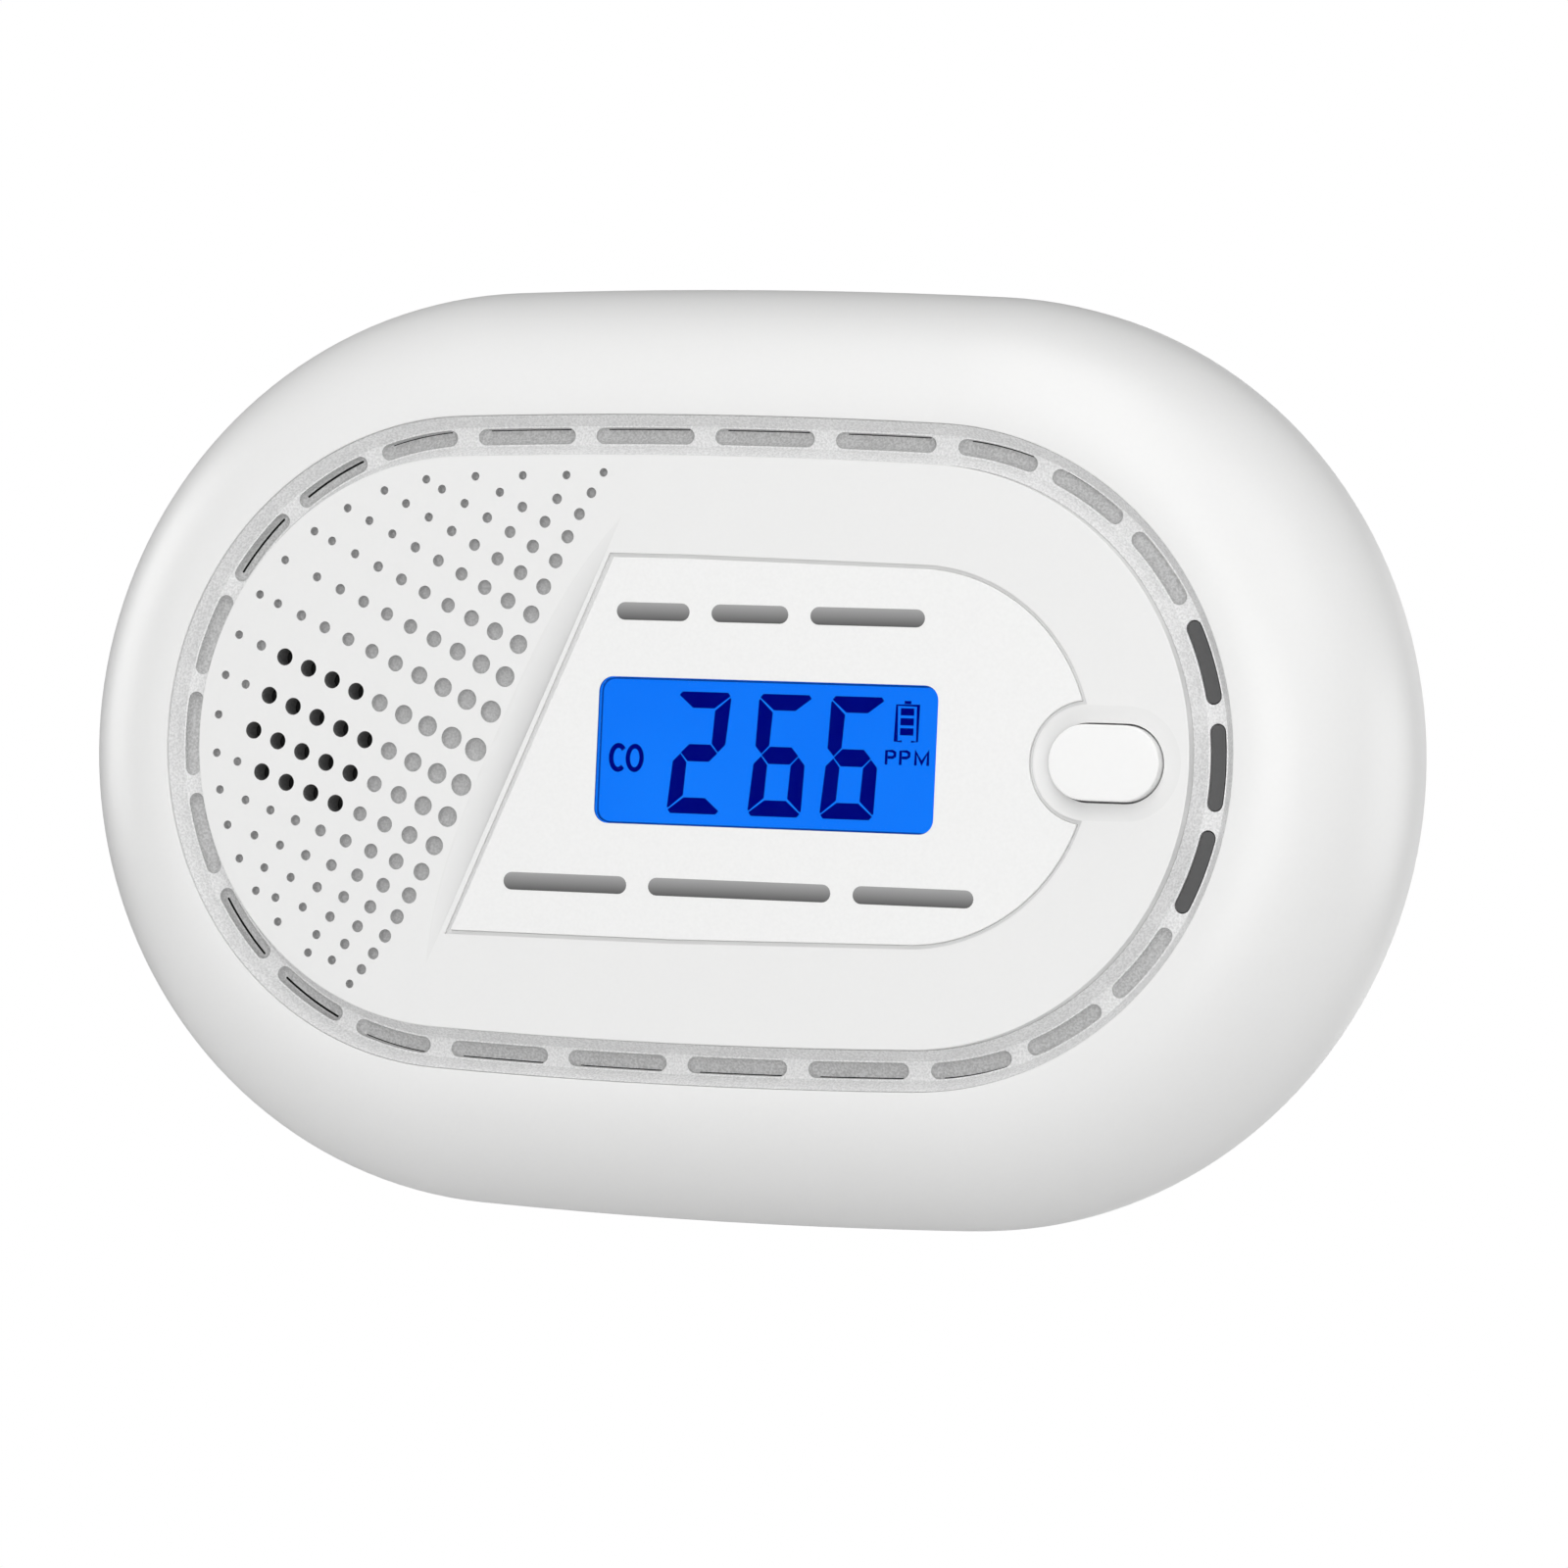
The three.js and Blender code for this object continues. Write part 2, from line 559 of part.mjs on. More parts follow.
function backlightPanel() {
  const [x, z] = WINDOW_CENTRE;
  const front = lcdFront() - LCD_THICKNESS - GAP;
  const { halfWidth, below, above, thickness } = BACKLIGHT;
  return block(x - halfWidth, x + halfWidth, z - below, z + above, front - thickness, front);
}

function zebraConnector() {
  const [x, z] = WINDOW_CENTRE;
  const { halfWidth, bottom, top } = ZEBRA;
  const front = lcdFront() - LCD_THICKNESS - GAP;
  return block(x - halfWidth, x + halfWidth, z - bottom, z - top, BOARD_FRONT + GAP, front);
}

function lcdHolder() {
  const [x, z] = WINDOW_CENTRE;
  const inner = LCD_SIZE.map((length) => length / 2 + CLEARANCE);
  const outer = inner.map((length) => length + HOLDER_WALL);
  const back = BOARD_FRONT + GAP;
  const front = FACE_DEPTH - FACE_WALL - CLEARANCE;
  const frame = block(x - outer[0], x + outer[0], z - outer[1], z + outer[1], back, front);
  return cut(frame, block(x - inner[0], x + inner[0], z - inner[1], z + inner[1], 0, front + THROUGH));
}

function switchBody() {
  const [x, z] = BUTTON_CENTRE;
  const back = BOARD_FRONT + GAP;
  const front = back + SWITCH.height;
  const body = block(x - SWITCH.half, x + SWITCH.half, z - SWITCH.half, z + SWITCH.half, back, front);
  const plungerBack = BUTTON_STEM.end - GAP - SWITCH.plungerLength;
  return cut(body, rod(x, z, SWITCH.bore, plungerBack - BUTTON_TRAVEL - CLEARANCE, front + THROUGH, 12));
}

function switchPlunger() {
  const [x, z] = BUTTON_CENTRE;
  const front = BUTTON_STEM.end - GAP;
  return rod(x, z, SWITCH.plunger, front - SWITCH.plungerLength, front, 12);
}

// ---------------------------------------------------------------- board and what it carries

function mainBoard() {
  const board = ovalSkin([[BOARD_INSET, BOARD_FRONT], [BOARD_INSET, BOARD_BACK]], false);
  const holes = [
    ...COVER_SCREWS.map(([x, z]) => rod(x, z, 3.3, BOARD_BACK - THROUGH, BOARD_FRONT + THROUGH, 12)),
    ...BOARD_SCREWS.map(([x, z]) => rod(x, z, 1.4, BOARD_BACK - THROUGH, BOARD_FRONT + THROUGH, 10)),
  ];
  return cut(board, ...holes);
}

function indicatorLed(index) {
  const angle = THREE.MathUtils.degToRad(index * END_SLOT_PITCH_DEG);
  const radius = endRadius(RING_MIDDLE_INSET);
  const x = END_CENTRE + radius * Math.cos(angle);
  const z = radius * Math.sin(angle);
  const layer = (width, length, back, front) => block(
    x - width / 2, x + width / 2, z - length / 2, z + length / 2, BOARD_FRONT + back, BOARD_FRONT + front,
  );
  const seam = LED.lensFront / 2;
  return join(
    layer(LED.baseWidth, LED.baseLength, GAP, seam),
    layer(LED.lensWidth, LED.lensLength, seam, LED.lensFront),
  );
}

const PIEZO_RISE = 1.2; // from the sounder's foot to its disc

function hornHousing() {
  const [x, z] = HORN_CENTRE;
  const back = BOARD_FRONT + GAP;
  const front = FACE_DEPTH - FACE_WALL - GASKET.thickness - 2 * GAP;
  const cup = rod(x, z, HORN.radius, back, front, 24);
  const seat = rod(x, z, HORN.seat, back + PIEZO_RISE - 2 * GAP, back + PIEZO_RISE + 3 * PIEZO.layer, 20);
  const chamber = rod(x, z, HORN.chamber, back - THROUGH, front - HORN.roof, 20);
  const outlet = rod(x, z, HORN.outlet, back, front + THROUGH, 12);
  return cut(cup, seat, chamber, outlet);
}

function piezoDisc() {
  const [x, z] = HORN_CENTRE;
  const back = BOARD_FRONT + GAP + PIEZO_RISE;
  const middle = back + PIEZO.layer;
  return join(
    rod(x, z, PIEZO.plate, back, middle, 20),
    rod(x, z, PIEZO.ceramic, middle - PIEZO.layer / 3, middle + PIEZO.layer, 20),
  );
}

function hornGasket() {
  const [x, z] = HORN_CENTRE;
  const front = FACE_DEPTH - FACE_WALL - GAP;
  const back = front - GASKET.thickness;
  const hole = rod(x, z, GASKET.inner, back - THROUGH, front + THROUGH, 20);
  return cut(rod(x, z, GASKET.outer, back, front, 20), hole);
}

function dustMesh() {
  const [x, z] = HORN_CENTRE;
  const front = FACE_DEPTH - FACE_WALL - 2 * GAP;
  return rod(x, z, MESH.radius, front - MESH.thickness, front, 20);
}

function sensorBody() {
  const [x, z] = SENSOR_CENTRE;
  return rod(x, z, SENSOR.radius, BOARD_BACK - GAP - SENSOR.height, BOARD_BACK - GAP, 24);
}

function sensorCap() {
  const [x, z] = SENSOR_CENTRE;
  const front = BOARD_BACK - 2 * GAP - SENSOR.height;
  const shoulder = front - SENSOR.capHeight;
  const cap = join(
    rod(x, z, SENSOR.cap, shoulder, front, 24),
    rod(x, z, SENSOR.neck, shoulder - SENSOR.neckHeight, shoulder + GAP, 16),
  );
  const inletBack = shoulder - SENSOR.neckHeight - THROUGH;
  return cut(cap, rod(x, z, SENSOR.inlet, inletBack, front - SENSOR.capHeight / 2, 10));
}

function sensorSeal() {
  const [x, z] = SENSOR_CENTRE;
  const back = HOUSING_BACK + HOUSING_WALL + GAP;
  const front = BOARD_BACK - 3 * GAP - SENSOR.height - SENSOR.capHeight;
  const tube = rod(x, z, SEAL.outer, back, front, 20);
  return cut(tube, rod(x, z, SEAL.inner, back - THROUGH, front + THROUGH, 16));
}

function controllerChip() {
  const front = BOARD_BACK - GAP;
  return block(...CHIP.x, ...CHIP.z, front - CHIP.height, front);
}

function crystalCan() {
  const front = BOARD_BACK - GAP;
  return plate(obround(CRYSTAL.centre, CRYSTAL.size), front - CRYSTAL.height, front, 5);
}

function boostCoil() {
  const front = BOARD_BACK - GAP;
  const back = front - COIL.height;
  const [x, z] = COIL.centre;
  return join(
    rod(x, z, COIL.flange, front - COIL.flangeHeight, front, 16),
    rod(x, z, COIL.core, back, front, 16),
    rod(x, z, COIL.flange, back, back + COIL.flangeHeight, 16),
  );
}

function supplyCapacitor() {
  const front = BOARD_BACK - GAP;
  const [x, z] = CAPACITOR.centre;
  const { radius, groove, height } = CAPACITOR;
  const can = rod(x, z, radius, front - height, front, 16);
  const ring = cut(
    rod(x, z, radius + groove, front - 6 * groove, front - 4 * groove, 16),
    rod(x, z, radius - groove, front - height, front, 16),
  );
  return cut(can, ring);
}

// ---------------------------------------------------------------- rear housing and door

function housingProfile() {
  const floor = HOUSING_BACK + HOUSING_WALL;
  const innerInset = HOUSING_INSET + HOUSING_WALL;
  return [
    [HOUSING_INSET + HOUSING_EDGE, HOUSING_BACK],
    [HOUSING_INSET + HOUSING_EDGE * 0.3, HOUSING_BACK + HOUSING_EDGE * 0.3],
    [HOUSING_INSET, HOUSING_BACK + HOUSING_EDGE],
    [HOUSING_INSET, FLANGE_BACK],
    [COVER_WALL + CLEARANCE, FLANGE_BACK],
    [COVER_WALL + CLEARANCE, FLANGE_FRONT],
    [innerInset, FLANGE_FRONT],
    [innerInset, floor],
  ];
}

function rearHousing() {
  const floor = HOUSING_BACK + HOUSING_WALL;
  const inside = floor - 0.3;
  const bayEnd = BAY_HALF_LENGTH + BAY_WALL;
  const shell = ovalSkin(housingProfile(), false);
  const walls = [
    block(BAY_HALF_LENGTH, bayEnd, BAY_BOTTOM, BAY_TOP + BAY_WALL, inside, BAY_FRONT),
    block(-bayEnd, -BAY_HALF_LENGTH, BAY_BOTTOM, BAY_TOP + BAY_WALL, inside, BAY_FRONT),
    block(-bayEnd, bayEnd, BAY_TOP, BAY_TOP + BAY_WALL, inside, BAY_FRONT),
  ];
  const { radius, counterbore, hole, seat } = SCREW_POST;
  const posts = COVER_SCREWS.map(([x, z]) => rod(x, z, radius, inside, FLANGE_FRONT));
  const counterbores = COVER_SCREWS.map(([x, z]) => rod(x, z, counterbore, 0, seat));
  const screwHoles = COVER_SCREWS.map(([x, z]) => rod(x, z, hole, seat - THROUGH, FLANGE_FRONT + THROUGH, 10));
  const doorway = block(
    -DOOR_HALF_WIDTH - DOOR_GAP, DOOR_HALF_WIDTH + DOOR_GAP,
    HINGE.z - HINGE.barrel - CLEARANCE, DOOR_TOP + DOOR_GAP, 0, floor + 0.01,
  );
  const hookTop = BRACKET_RISE + HOOK_BOTTOM + HOOK_STEM + CLEARANCE;
  const hookHalf = HOOK_WIDTH / 2 + HOOK_SIDE_GAP;
  const hookEntry = hookTop - HOOK_STEM - LIFT - HOOK_SIDE_GAP;
  const hookSlots = [HOOK_X, -HOOK_X].map((x) => block(
    x - hookHalf, x + hookHalf, hookEntry, hookTop, 0, floor + THROUGH,
  ));
  const vents = SIDE_VENTS_X.map((x) => block(
    x - SIDE_VENT.halfWidth, x + SIDE_VENT.halfWidth, HALF_HEIGHT - 2 * HOUSING_INSET, HALF_HEIGHT,
    SIDE_VENT.back, SIDE_VENT.front,
  ));
  const ears = [1, -1].map((side) => hingeEar(side));
  const body = cut(
    join(shell, ...walls, ...posts), ...counterbores, ...screwHoles, doorway, ...hookSlots, ...vents,
  );
  return join(body, ...ears);
}

function hingeEar(side) {
  const near = side * (HINGE.halfLength + HINGE_EAR.gap);
  const far = near + side * HINGE_EAR.width;
  const x0 = Math.min(near, far);
  const x1 = Math.max(near, far);
  const { below, above, front } = HINGE_EAR;
  const ear = block(x0, x1, HINGE.z - below, HINGE.z + above, HOUSING_BACK + CLEARANCE, front);
  return cut(ear, barAlongX(x0 - THROUGH, x1 + THROUGH, HINGE.z, HINGE.depth, HINGE.bore, 14));
}

function batteryDoor() {
  const back = HOUSING_BACK + GAP;
  const front = back + DOOR_THICKNESS;
  const halfLength = HINGE.halfLength;
  const panelBottom = HINGE.z + 2;
  const panel = block(-DOOR_HALF_WIDTH, DOOR_HALF_WIDTH, panelBottom, DOOR_TOP, back, front);
  const web = block(-halfLength, halfLength, HINGE.z, panelBottom + GAP, back, front);
  const barrel = barAlongX(-halfLength, halfLength, HINGE.z, HINGE.depth, HINGE.barrel);
  const pinEnd = halfLength + HINGE_EAR.width - GAP;
  const pin = barAlongX(-pinEnd, pinEnd, HINGE.z, HINGE.depth, HINGE.pin, 12);
  const rib = DOOR_STIFFENER;
  const stiffener = block(
    -rib.halfLength, rib.halfLength, rib.bottom, rib.top, front - GAP, front + rib.height,
  );
  const snap = DOOR_TONGUE;
  const snapTop = DOOR_TOP - 2 * GAP;
  const tongue = block(
    -snap.halfWidth, snap.halfWidth, snapTop - snap.thickness, snapTop, front - GAP, front + snap.height,
  );
  const grip = block(
    -DOOR_GRIP.halfWidth, DOOR_GRIP.halfWidth, DOOR_TOP - DOOR_GRIP.below, DOOR_TOP - DOOR_GRIP.above,
    back - THROUGH, back + DOOR_GRIP.sink,
  );
  return cut(join(panel, web, barrel, pin, stiffener, tongue), grip);
}

// ---------------------------------------------------------------- battery bay

// A cell that lies along X with its positive end towards +X.
function cellGeometry() {
  const body = CELL_LENGTH - CELL_NUB.height;
  const edge = 0.5;
  const profile = [
    [0, 0], [CELL_RADIUS - edge, 0], [CELL_RADIUS, edge], [CELL_RADIUS, body - edge],
    [CELL_RADIUS - edge, body], [CELL_NUB.radius, body], [CELL_NUB.radius, CELL_LENGTH], [0, CELL_LENGTH],
  ].map(([radius, height]) => new THREE.Vector2(radius, height - CELL_LENGTH / 2));
  const geometry = new THREE.LatheGeometry(profile, 20);
  geometry.rotateZ(-Math.PI / 2);
  return geometry;
}

class ConeSpring extends THREE.Curve {
  getPoint(t, target = new THREE.Vector3()) {
    const radius = SPRING.wide + (SPRING.narrow - SPRING.wide) * t;
    const angle = 2 * Math.PI * SPRING.turns * t;
    return target.set(t * SPRING.length, radius * Math.cos(angle), radius * Math.sin(angle));
  }
}

// A conical contact spring whose wide end sits at x = 0 and whose tip points along +X.
function springGeometry() {
  const wire = new THREE.Shape();
  wire.absarc(0, 0, SPRING.wire, 0, 2 * Math.PI);
  return new THREE.ExtrudeGeometry(wire, { extrudePath: new ConeSpring(), steps: 27, curveSegments: 3 });
}

const CONTACT_X = BAY_HALF_LENGTH - 0.35;

function contactPlate(side, z0, z1) {
  const x0 = side > 0 ? CONTACT_X - CONTACT.thickness : -CONTACT_X;
  return block(x0, x0 + CONTACT.thickness, z0, z1, CONTACT.back, CONTACT.front);
}

// ---------------------------------------------------------------- bracket, pads, fasteners

function wallBracket() {
  const [width, height] = BRACKET_SIZE;
  const base = plate(roundedRectangle([0, 0], BRACKET_SIZE, 4), 0, BRACKET_THICKNESS, 4);
  const lipBack = HOUSING_BACK + HOUSING_WALL + CLEARANCE;
  const hooks = [HOOK_X, -HOOK_X].flatMap((x) => {
    const x0 = x - HOOK_WIDTH / 2;
    const x1 = x + HOOK_WIDTH / 2;
    return [
      block(x0, x1, HOOK_BOTTOM, HOOK_BOTTOM + HOOK_STEM, BRACKET_THICKNESS / 2, lipBack + HOOK_THICKNESS),
      block(x0, x1, HOOK_BOTTOM, HOOK_BOTTOM + HOOK_HEIGHT, lipBack, lipBack + HOOK_THICKNESS),
    ];
  });
  const holes = [width / 6, -width / 6].flatMap((x) => [
    rod(x, 0, BRACKET_HOLE.radius, -THROUGH, BRACKET_THICKNESS + THROUGH, 16),
    rod(x, 0, BRACKET_HOLE.head, BRACKET_THICKNESS - BRACKET_HOLE.sink, BRACKET_THICKNESS + THROUGH, 16),
  ]);
  const lightening = block(-6, 6, height / 2 - 5, height / 2 - 3, -THROUGH, BRACKET_THICKNESS + THROUGH);
  return cut(join(base, ...hooks), ...holes, lightening);
}

// A pan-head screw whose head rests at depth 0 and whose shaft runs to the front.
function screwGeometry({ head, headHeight, shaft, length }) {
  const profile = [
    [0, -headHeight], [head * 0.7, -headHeight], [head, -headHeight * 0.6], [head, 0],
    [shaft, 0], [shaft, length - shaft], [shaft * 0.4, length], [0, length],
  ].map(([radius, height]) => new THREE.Vector2(radius, height));
  const geometry = new THREE.LatheGeometry(profile, 10);
  geometry.rotateX(Math.PI);
  return geometry;
}

// ---------------------------------------------------------------- assembly

const assembly = new THREE.Group();
const detector = new THREE.Group();
detector.position.z = -BRACKET_RISE;
assembly.add(detector);

function add(parent, name, shape, look) {
  const geometry = shape instanceof THREE.BufferGeometry ? shape : toGeometry(shape);
  const mesh = new THREE.Mesh(geometry, look);
  mesh.name = name;
  parent.add(mesh);
  return mesh;
}

function addShells() {
  add(detector, 'front_cover', frontCover(), SHELL_WHITE);
  add(detector, 'vent_ring', ventRing(), RING_WHITE);
  add(detector, 'rear_housing', rearHousing(), REAR_WHITE);
  add(detector, 'battery_door', batteryDoor(), REAR_WHITE);
  add(assembly, 'wall_bracket', wallBracket(), BRACKET_WHITE);
  for (const [name, side] of [['rear_pad_left', -1], ['rear_pad_right', 1]]) {
    const pad = rod(side * PAD.x, PAD.z, PAD.radius, GAP / 2, HOUSING_BACK - GAP, 18);
    add(detector, name, pad, GREY_RUBBER);
  }
}

function addDisplay() {
  add(detector, 'display_panel', displayPanel(), PANEL_WHITE);
  add(detector, 'display_window', displayWindow(), CLEAR);
  add(detector, 'lcd_cell', lcdCell(), LCD_BLUE);
  add(detector, 'backlight_panel', backlightPanel(), LIGHT_GUIDE);
  add(detector, 'lcd_holder', lcdHolder(), BLACK_PLASTIC);
  add(detector, 'zebra_connector', zebraConnector(), GREY_RUBBER);
}

function addControls() {
  add(detector, 'test_button', testButton(), SHELL_WHITE);
  add(detector, 'switch_body', switchBody(), BLACK_PLASTIC);
  add(detector, 'switch_plunger', switchPlunger(), BLACK_PLASTIC);
  const lights = [['upper', 1], ['middle', 0], ['lower', -1]];
  for (const [place, index] of lights) {
    add(detector, `light_pipe_${place}`, lightPipe(index), SMOKED);
    add(detector, `indicator_led_${place}`, indicatorLed(index), LIGHT_GUIDE);
  }
}

function addBoard() {
  add(detector, 'main_board', mainBoard(), BOARD_GREEN);
  add(detector, 'controller_chip', controllerChip(), BLACK_PLASTIC);
  add(detector, 'crystal_can', crystalCan(), STEEL);
  add(detector, 'boost_coil', boostCoil(), BLACK_PLASTIC);
  add(detector, 'supply_capacitor', supplyCapacitor(), BLACK_PLASTIC);
  add(detector, 'sensor_body', sensorBody(), REAR_WHITE);
  add(detector, 'sensor_cap', sensorCap(), STEEL);
  add(detector, 'sensor_seal', sensorSeal(), GREY_RUBBER);
}

function addHorn() {
  add(detector, 'horn_housing', hornHousing(), BLACK_PLASTIC);
  add(detector, 'piezo_disc', piezoDisc(), BRASS);
  add(detector, 'horn_gasket', hornGasket(), GREY_RUBBER);
  add(detector, 'dust_mesh', dustMesh(), MESH_GREY);
}

function addBatteries() {
  const inner = CONTACT_X - CONTACT.thickness - GAP;
  const cellX = inner - CELL_LENGTH / 2;
  const cells = [['battery_cell_upper', 1, CELL_Z[0]], ['battery_cell_lower', -1, CELL_Z[1]]];
  cells.forEach(([name, side, z], index) => {
    const cell = add(detector, name, cellGeometry(), CELL_WRAP);
    cell.position.set(side * cellX, -CELL_DEPTH, z);
    cell.rotation.z = side > 0 ? 0 : Math.PI;
    const spring = add(detector, ['spring_upper', 'spring_lower'][index], springGeometry(), STEEL);
    spring.position.set(-side * (inner - SPRING.wire - GAP), -CELL_DEPTH, z);
    spring.rotation.z = side > 0 ? 0 : Math.PI;
  });
  add(detector, 'contact_bridge', contactPlate(-1, -27.5, -1.5), STEEL);
  add(detector, 'contact_positive', contactPlate(1, -13, -1.5), STEEL);
  add(detector, 'contact_negative', contactPlate(1, -27.5, -16), STEEL);
}

function addScrews() {
  COVER_SCREWS.forEach(([x, z], index) => {
    const screw = add(detector, `cover_screw_${index + 1}`, screwGeometry(COVER_SCREW), STEEL);
    screw.position.set(x, -(SCREW_POST.seat - GAP), z);
  });
  BOARD_SCREWS.forEach(([x, z], index) => {
    const screw = add(detector, `board_screw_${index + 1}`, screwGeometry(BOARD_SCREW), STEEL);
    screw.position.set(x, -(BOARD_BACK - GAP), z);
  });
}

addShells();
addDisplay();
addControls();
addBoard();
addHorn();
addBatteries();
addScrews();

export default assembly;
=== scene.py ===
"""Looks for a wall-mounted carbon monoxide alarm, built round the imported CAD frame.

Shapes are drawn in the plane of the face, in millimetres: x to the right and z up from the
middle of the face, and depth away from the wall. place() turns them into the row frame.
"""
import math
from functools import partial

import bmesh
import bpy
from mathutils import Matrix, Vector
from mathutils.geometry import delaunay_2d_cdt


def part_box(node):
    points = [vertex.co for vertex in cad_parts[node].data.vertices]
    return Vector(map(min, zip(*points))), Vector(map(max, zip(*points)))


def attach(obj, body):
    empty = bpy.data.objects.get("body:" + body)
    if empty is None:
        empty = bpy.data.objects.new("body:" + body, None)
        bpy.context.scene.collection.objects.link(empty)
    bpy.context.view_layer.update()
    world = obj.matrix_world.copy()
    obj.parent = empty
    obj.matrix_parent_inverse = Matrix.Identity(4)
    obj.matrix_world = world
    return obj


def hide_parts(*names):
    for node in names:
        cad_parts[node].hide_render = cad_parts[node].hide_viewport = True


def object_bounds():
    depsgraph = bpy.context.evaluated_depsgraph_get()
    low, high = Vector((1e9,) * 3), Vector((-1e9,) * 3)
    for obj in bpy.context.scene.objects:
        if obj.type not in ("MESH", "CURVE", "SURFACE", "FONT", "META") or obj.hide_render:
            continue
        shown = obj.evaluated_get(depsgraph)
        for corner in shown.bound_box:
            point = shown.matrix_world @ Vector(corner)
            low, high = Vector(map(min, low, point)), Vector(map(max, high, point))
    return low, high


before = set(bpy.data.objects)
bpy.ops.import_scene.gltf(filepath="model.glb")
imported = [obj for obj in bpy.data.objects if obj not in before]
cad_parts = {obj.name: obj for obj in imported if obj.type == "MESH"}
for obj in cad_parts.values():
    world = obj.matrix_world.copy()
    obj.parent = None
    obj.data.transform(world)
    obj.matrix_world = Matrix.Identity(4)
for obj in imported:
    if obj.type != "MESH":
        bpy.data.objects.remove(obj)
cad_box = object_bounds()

# ------------------------------------------------------------------ sizes, in millimetres
# An inset is a distance inwards from the case's outline, and a sink a depth below the face.
# Other depths are measured out from the wall. MM, WELD and MIDDLE_Z are in metres.

MM = 0.001
WELD = 1.5e-6

cover_low, cover_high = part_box("front_cover")
MIDDLE_Z = (cover_low.z + cover_high.z) / 2
HALF_HEIGHT = (cover_high.z - cover_low.z) / 2 / MM
SIDE_CROWN = 0.4
END_CENTRE = (cover_high.x - cover_low.x) / 2 / MM - HALF_HEIGHT + SIDE_CROWN
RIM_BACK = -cover_high.y / MM
FACE_DEPTH = -cover_low.y / MM
BUTTON_TOP = -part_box("test_button")[0].y / MM

END_STEPS = 80
SIDE_STEPS = 10
CORNER_STEPS = 8
SLOT_STEPS = 14
SHARP_ANGLE = math.radians(32)
BEVEL_ANGLE = math.radians(35)

RIM_FRONT = 13.65
RIM_EDGE = 0.3
DOME_RUN = 11.6
DOME_FRONT = 27.25
DOME_STEPS = 36
RIM_STEPS = 4
INNER_STEPS = 12
COVER_WALL = 2.2
FACE_WALL = 2.0
FACE_EDGE = 0.15

RING_OUTER_INSET = 11.76
RING_INNER_INSET = 15.23
RING_MIDDLE_INSET = (RING_OUTER_INSET + RING_INNER_INSET) / 2
RING_FLOOR = 25.75
RING_TOP = 27.05
RING_BACK = 24.75
RING_BEVEL = 0.88
RING_GAP = 0.02
CHANNEL_FLOOR = 24.65
CHANNEL_BACK = 22.95
CHANNEL_WALL = 1.2

SLOT_WIDTH = 1.4
SLOT_SINK = 0.85
END_SLOT_PITCH = math.radians(19.4)
END_SLOT_LENGTH = 7.3
SIDE_SLOT_X = (-16.5, -5.5, 5.5, 16.5)
SIDE_SLOT_LENGTH = 9.1
LIGHT_SLOTS = {"upper": 1, "middle": 0, "lower": -1}
CLOSED_SLOTS = (-1, 0, 1)
WIDE_SLITS = (-3, -2, 2, 3)
# A slit's shift is towards the slot's outer side, and its cut is what it is shorter by
WIDE_SLIT = {"width": 0.2, "shift": 0.36, "cut": 1.2}
NARROW_SLIT = {"width": 0.08, "shift": 0.6, "cut": 1.6}
PIPE_GAP = 0.1

# Rows of the sound outlet are counted down from the middle one, and holes from the right.
# A rise moves a row's first hole, in x and in z, by its number, its square and its cube.
GRILLE_ROWS = range(-10, 11)
GRILLE_START = (-18.95, -0.63)
GRILLE_RISE_UP = ((1.296, -0.0431, 0.0021), (3.388, -0.1339, 0.0033))
GRILLE_RISE_DOWN = ((-1.2255, 0.0256, -0.0012), (-3.1816, 0.148, -0.0034))
# The lean, in degrees, changes with each row down and with each row away from the middle
GRILLE_LEAN = 21.84
LEAN_PER_ROW = (-1.01, 0.06)
# The pitch is even down to row 1, and below it grows with the square of the row's number
UPPER_PITCH = 2.488
LOWER_PITCH = (2.475, 0.0055)
# The first and last open hole of each row that has some
GRILLE_OPEN = {0: (5, 8), 1: (4, 8), 2: (4, 8), 3: (4, 7)}
OPEN_RADIUS = 0.74
# The largest dimple, and what each row away and each hole to the left changes
DIMPLE_RADIUS = (1.01, -0.062, -0.0615)
SMALLEST_DIMPLE = 0.38
DIMPLE_SINK = 0.75
GRILLE_EDGE_INSET = 17.0
BORDER_STEP = 0.02
BORDER_SHARE = 0.66
LAST_RADIUS = 0.37
# A dimple's section: shares of its radius and of its sink
BOWL = ((1, 0), (0.985, 0.45), (0.94, 0.7), (0.85, 0.86), (0.68, 0.96), (0.4, 1))

PANEL_INSET = 23.95
PANEL_TOP_LEFT = -6.95
PANEL_BOTTOM_LEFT = -20.6
PANEL_THICKNESS = 0.95
PANEL_EDGE = 0.06
RECESS_GAP = 0.1
OPENING_SHADE = 0.25
OPENING_EDGE = 0.03
GROOVE_WIDTH = 0.34
GROOVE_SINK = 0.3
WINDOW_CENTRE = (7.7, -0.25)
WINDOW_SIZE = (30.8, 12.4)
WINDOW_RADIUS = 1.25
WINDOW_BACK = 27.55
WINDOW_FRONT = 27.95
LCD_FRONT = 27.45
LCD_GAP = 0.06
LCD_EDGE = 0.12
BUTTON_CENTRE = (38.2, 0.0)
BUTTON_SIZE = (9.7, 6.3)
BUTTON_GAP = 0.16
BUTTON_EDGE = 0.16
BUTTON_CROWN = 0.04
LOBE_MARGIN = 2.0
LOBE_REACH = LOBE_MARGIN - GROOVE_WIDTH - 0.05
LOBE_SINK = 0.36
LOBE_RINGS = 10
HOLLOW_WIDTH = 2.6
HOLLOW_SINK = 0.85
HOLLOW_STRIP = 0.45
HOLLOW_START = -3.6
HOLLOW_EXTRA = 6.9
HOLLOW_COLUMNS = 40
HOLLOW_ROWS = 8

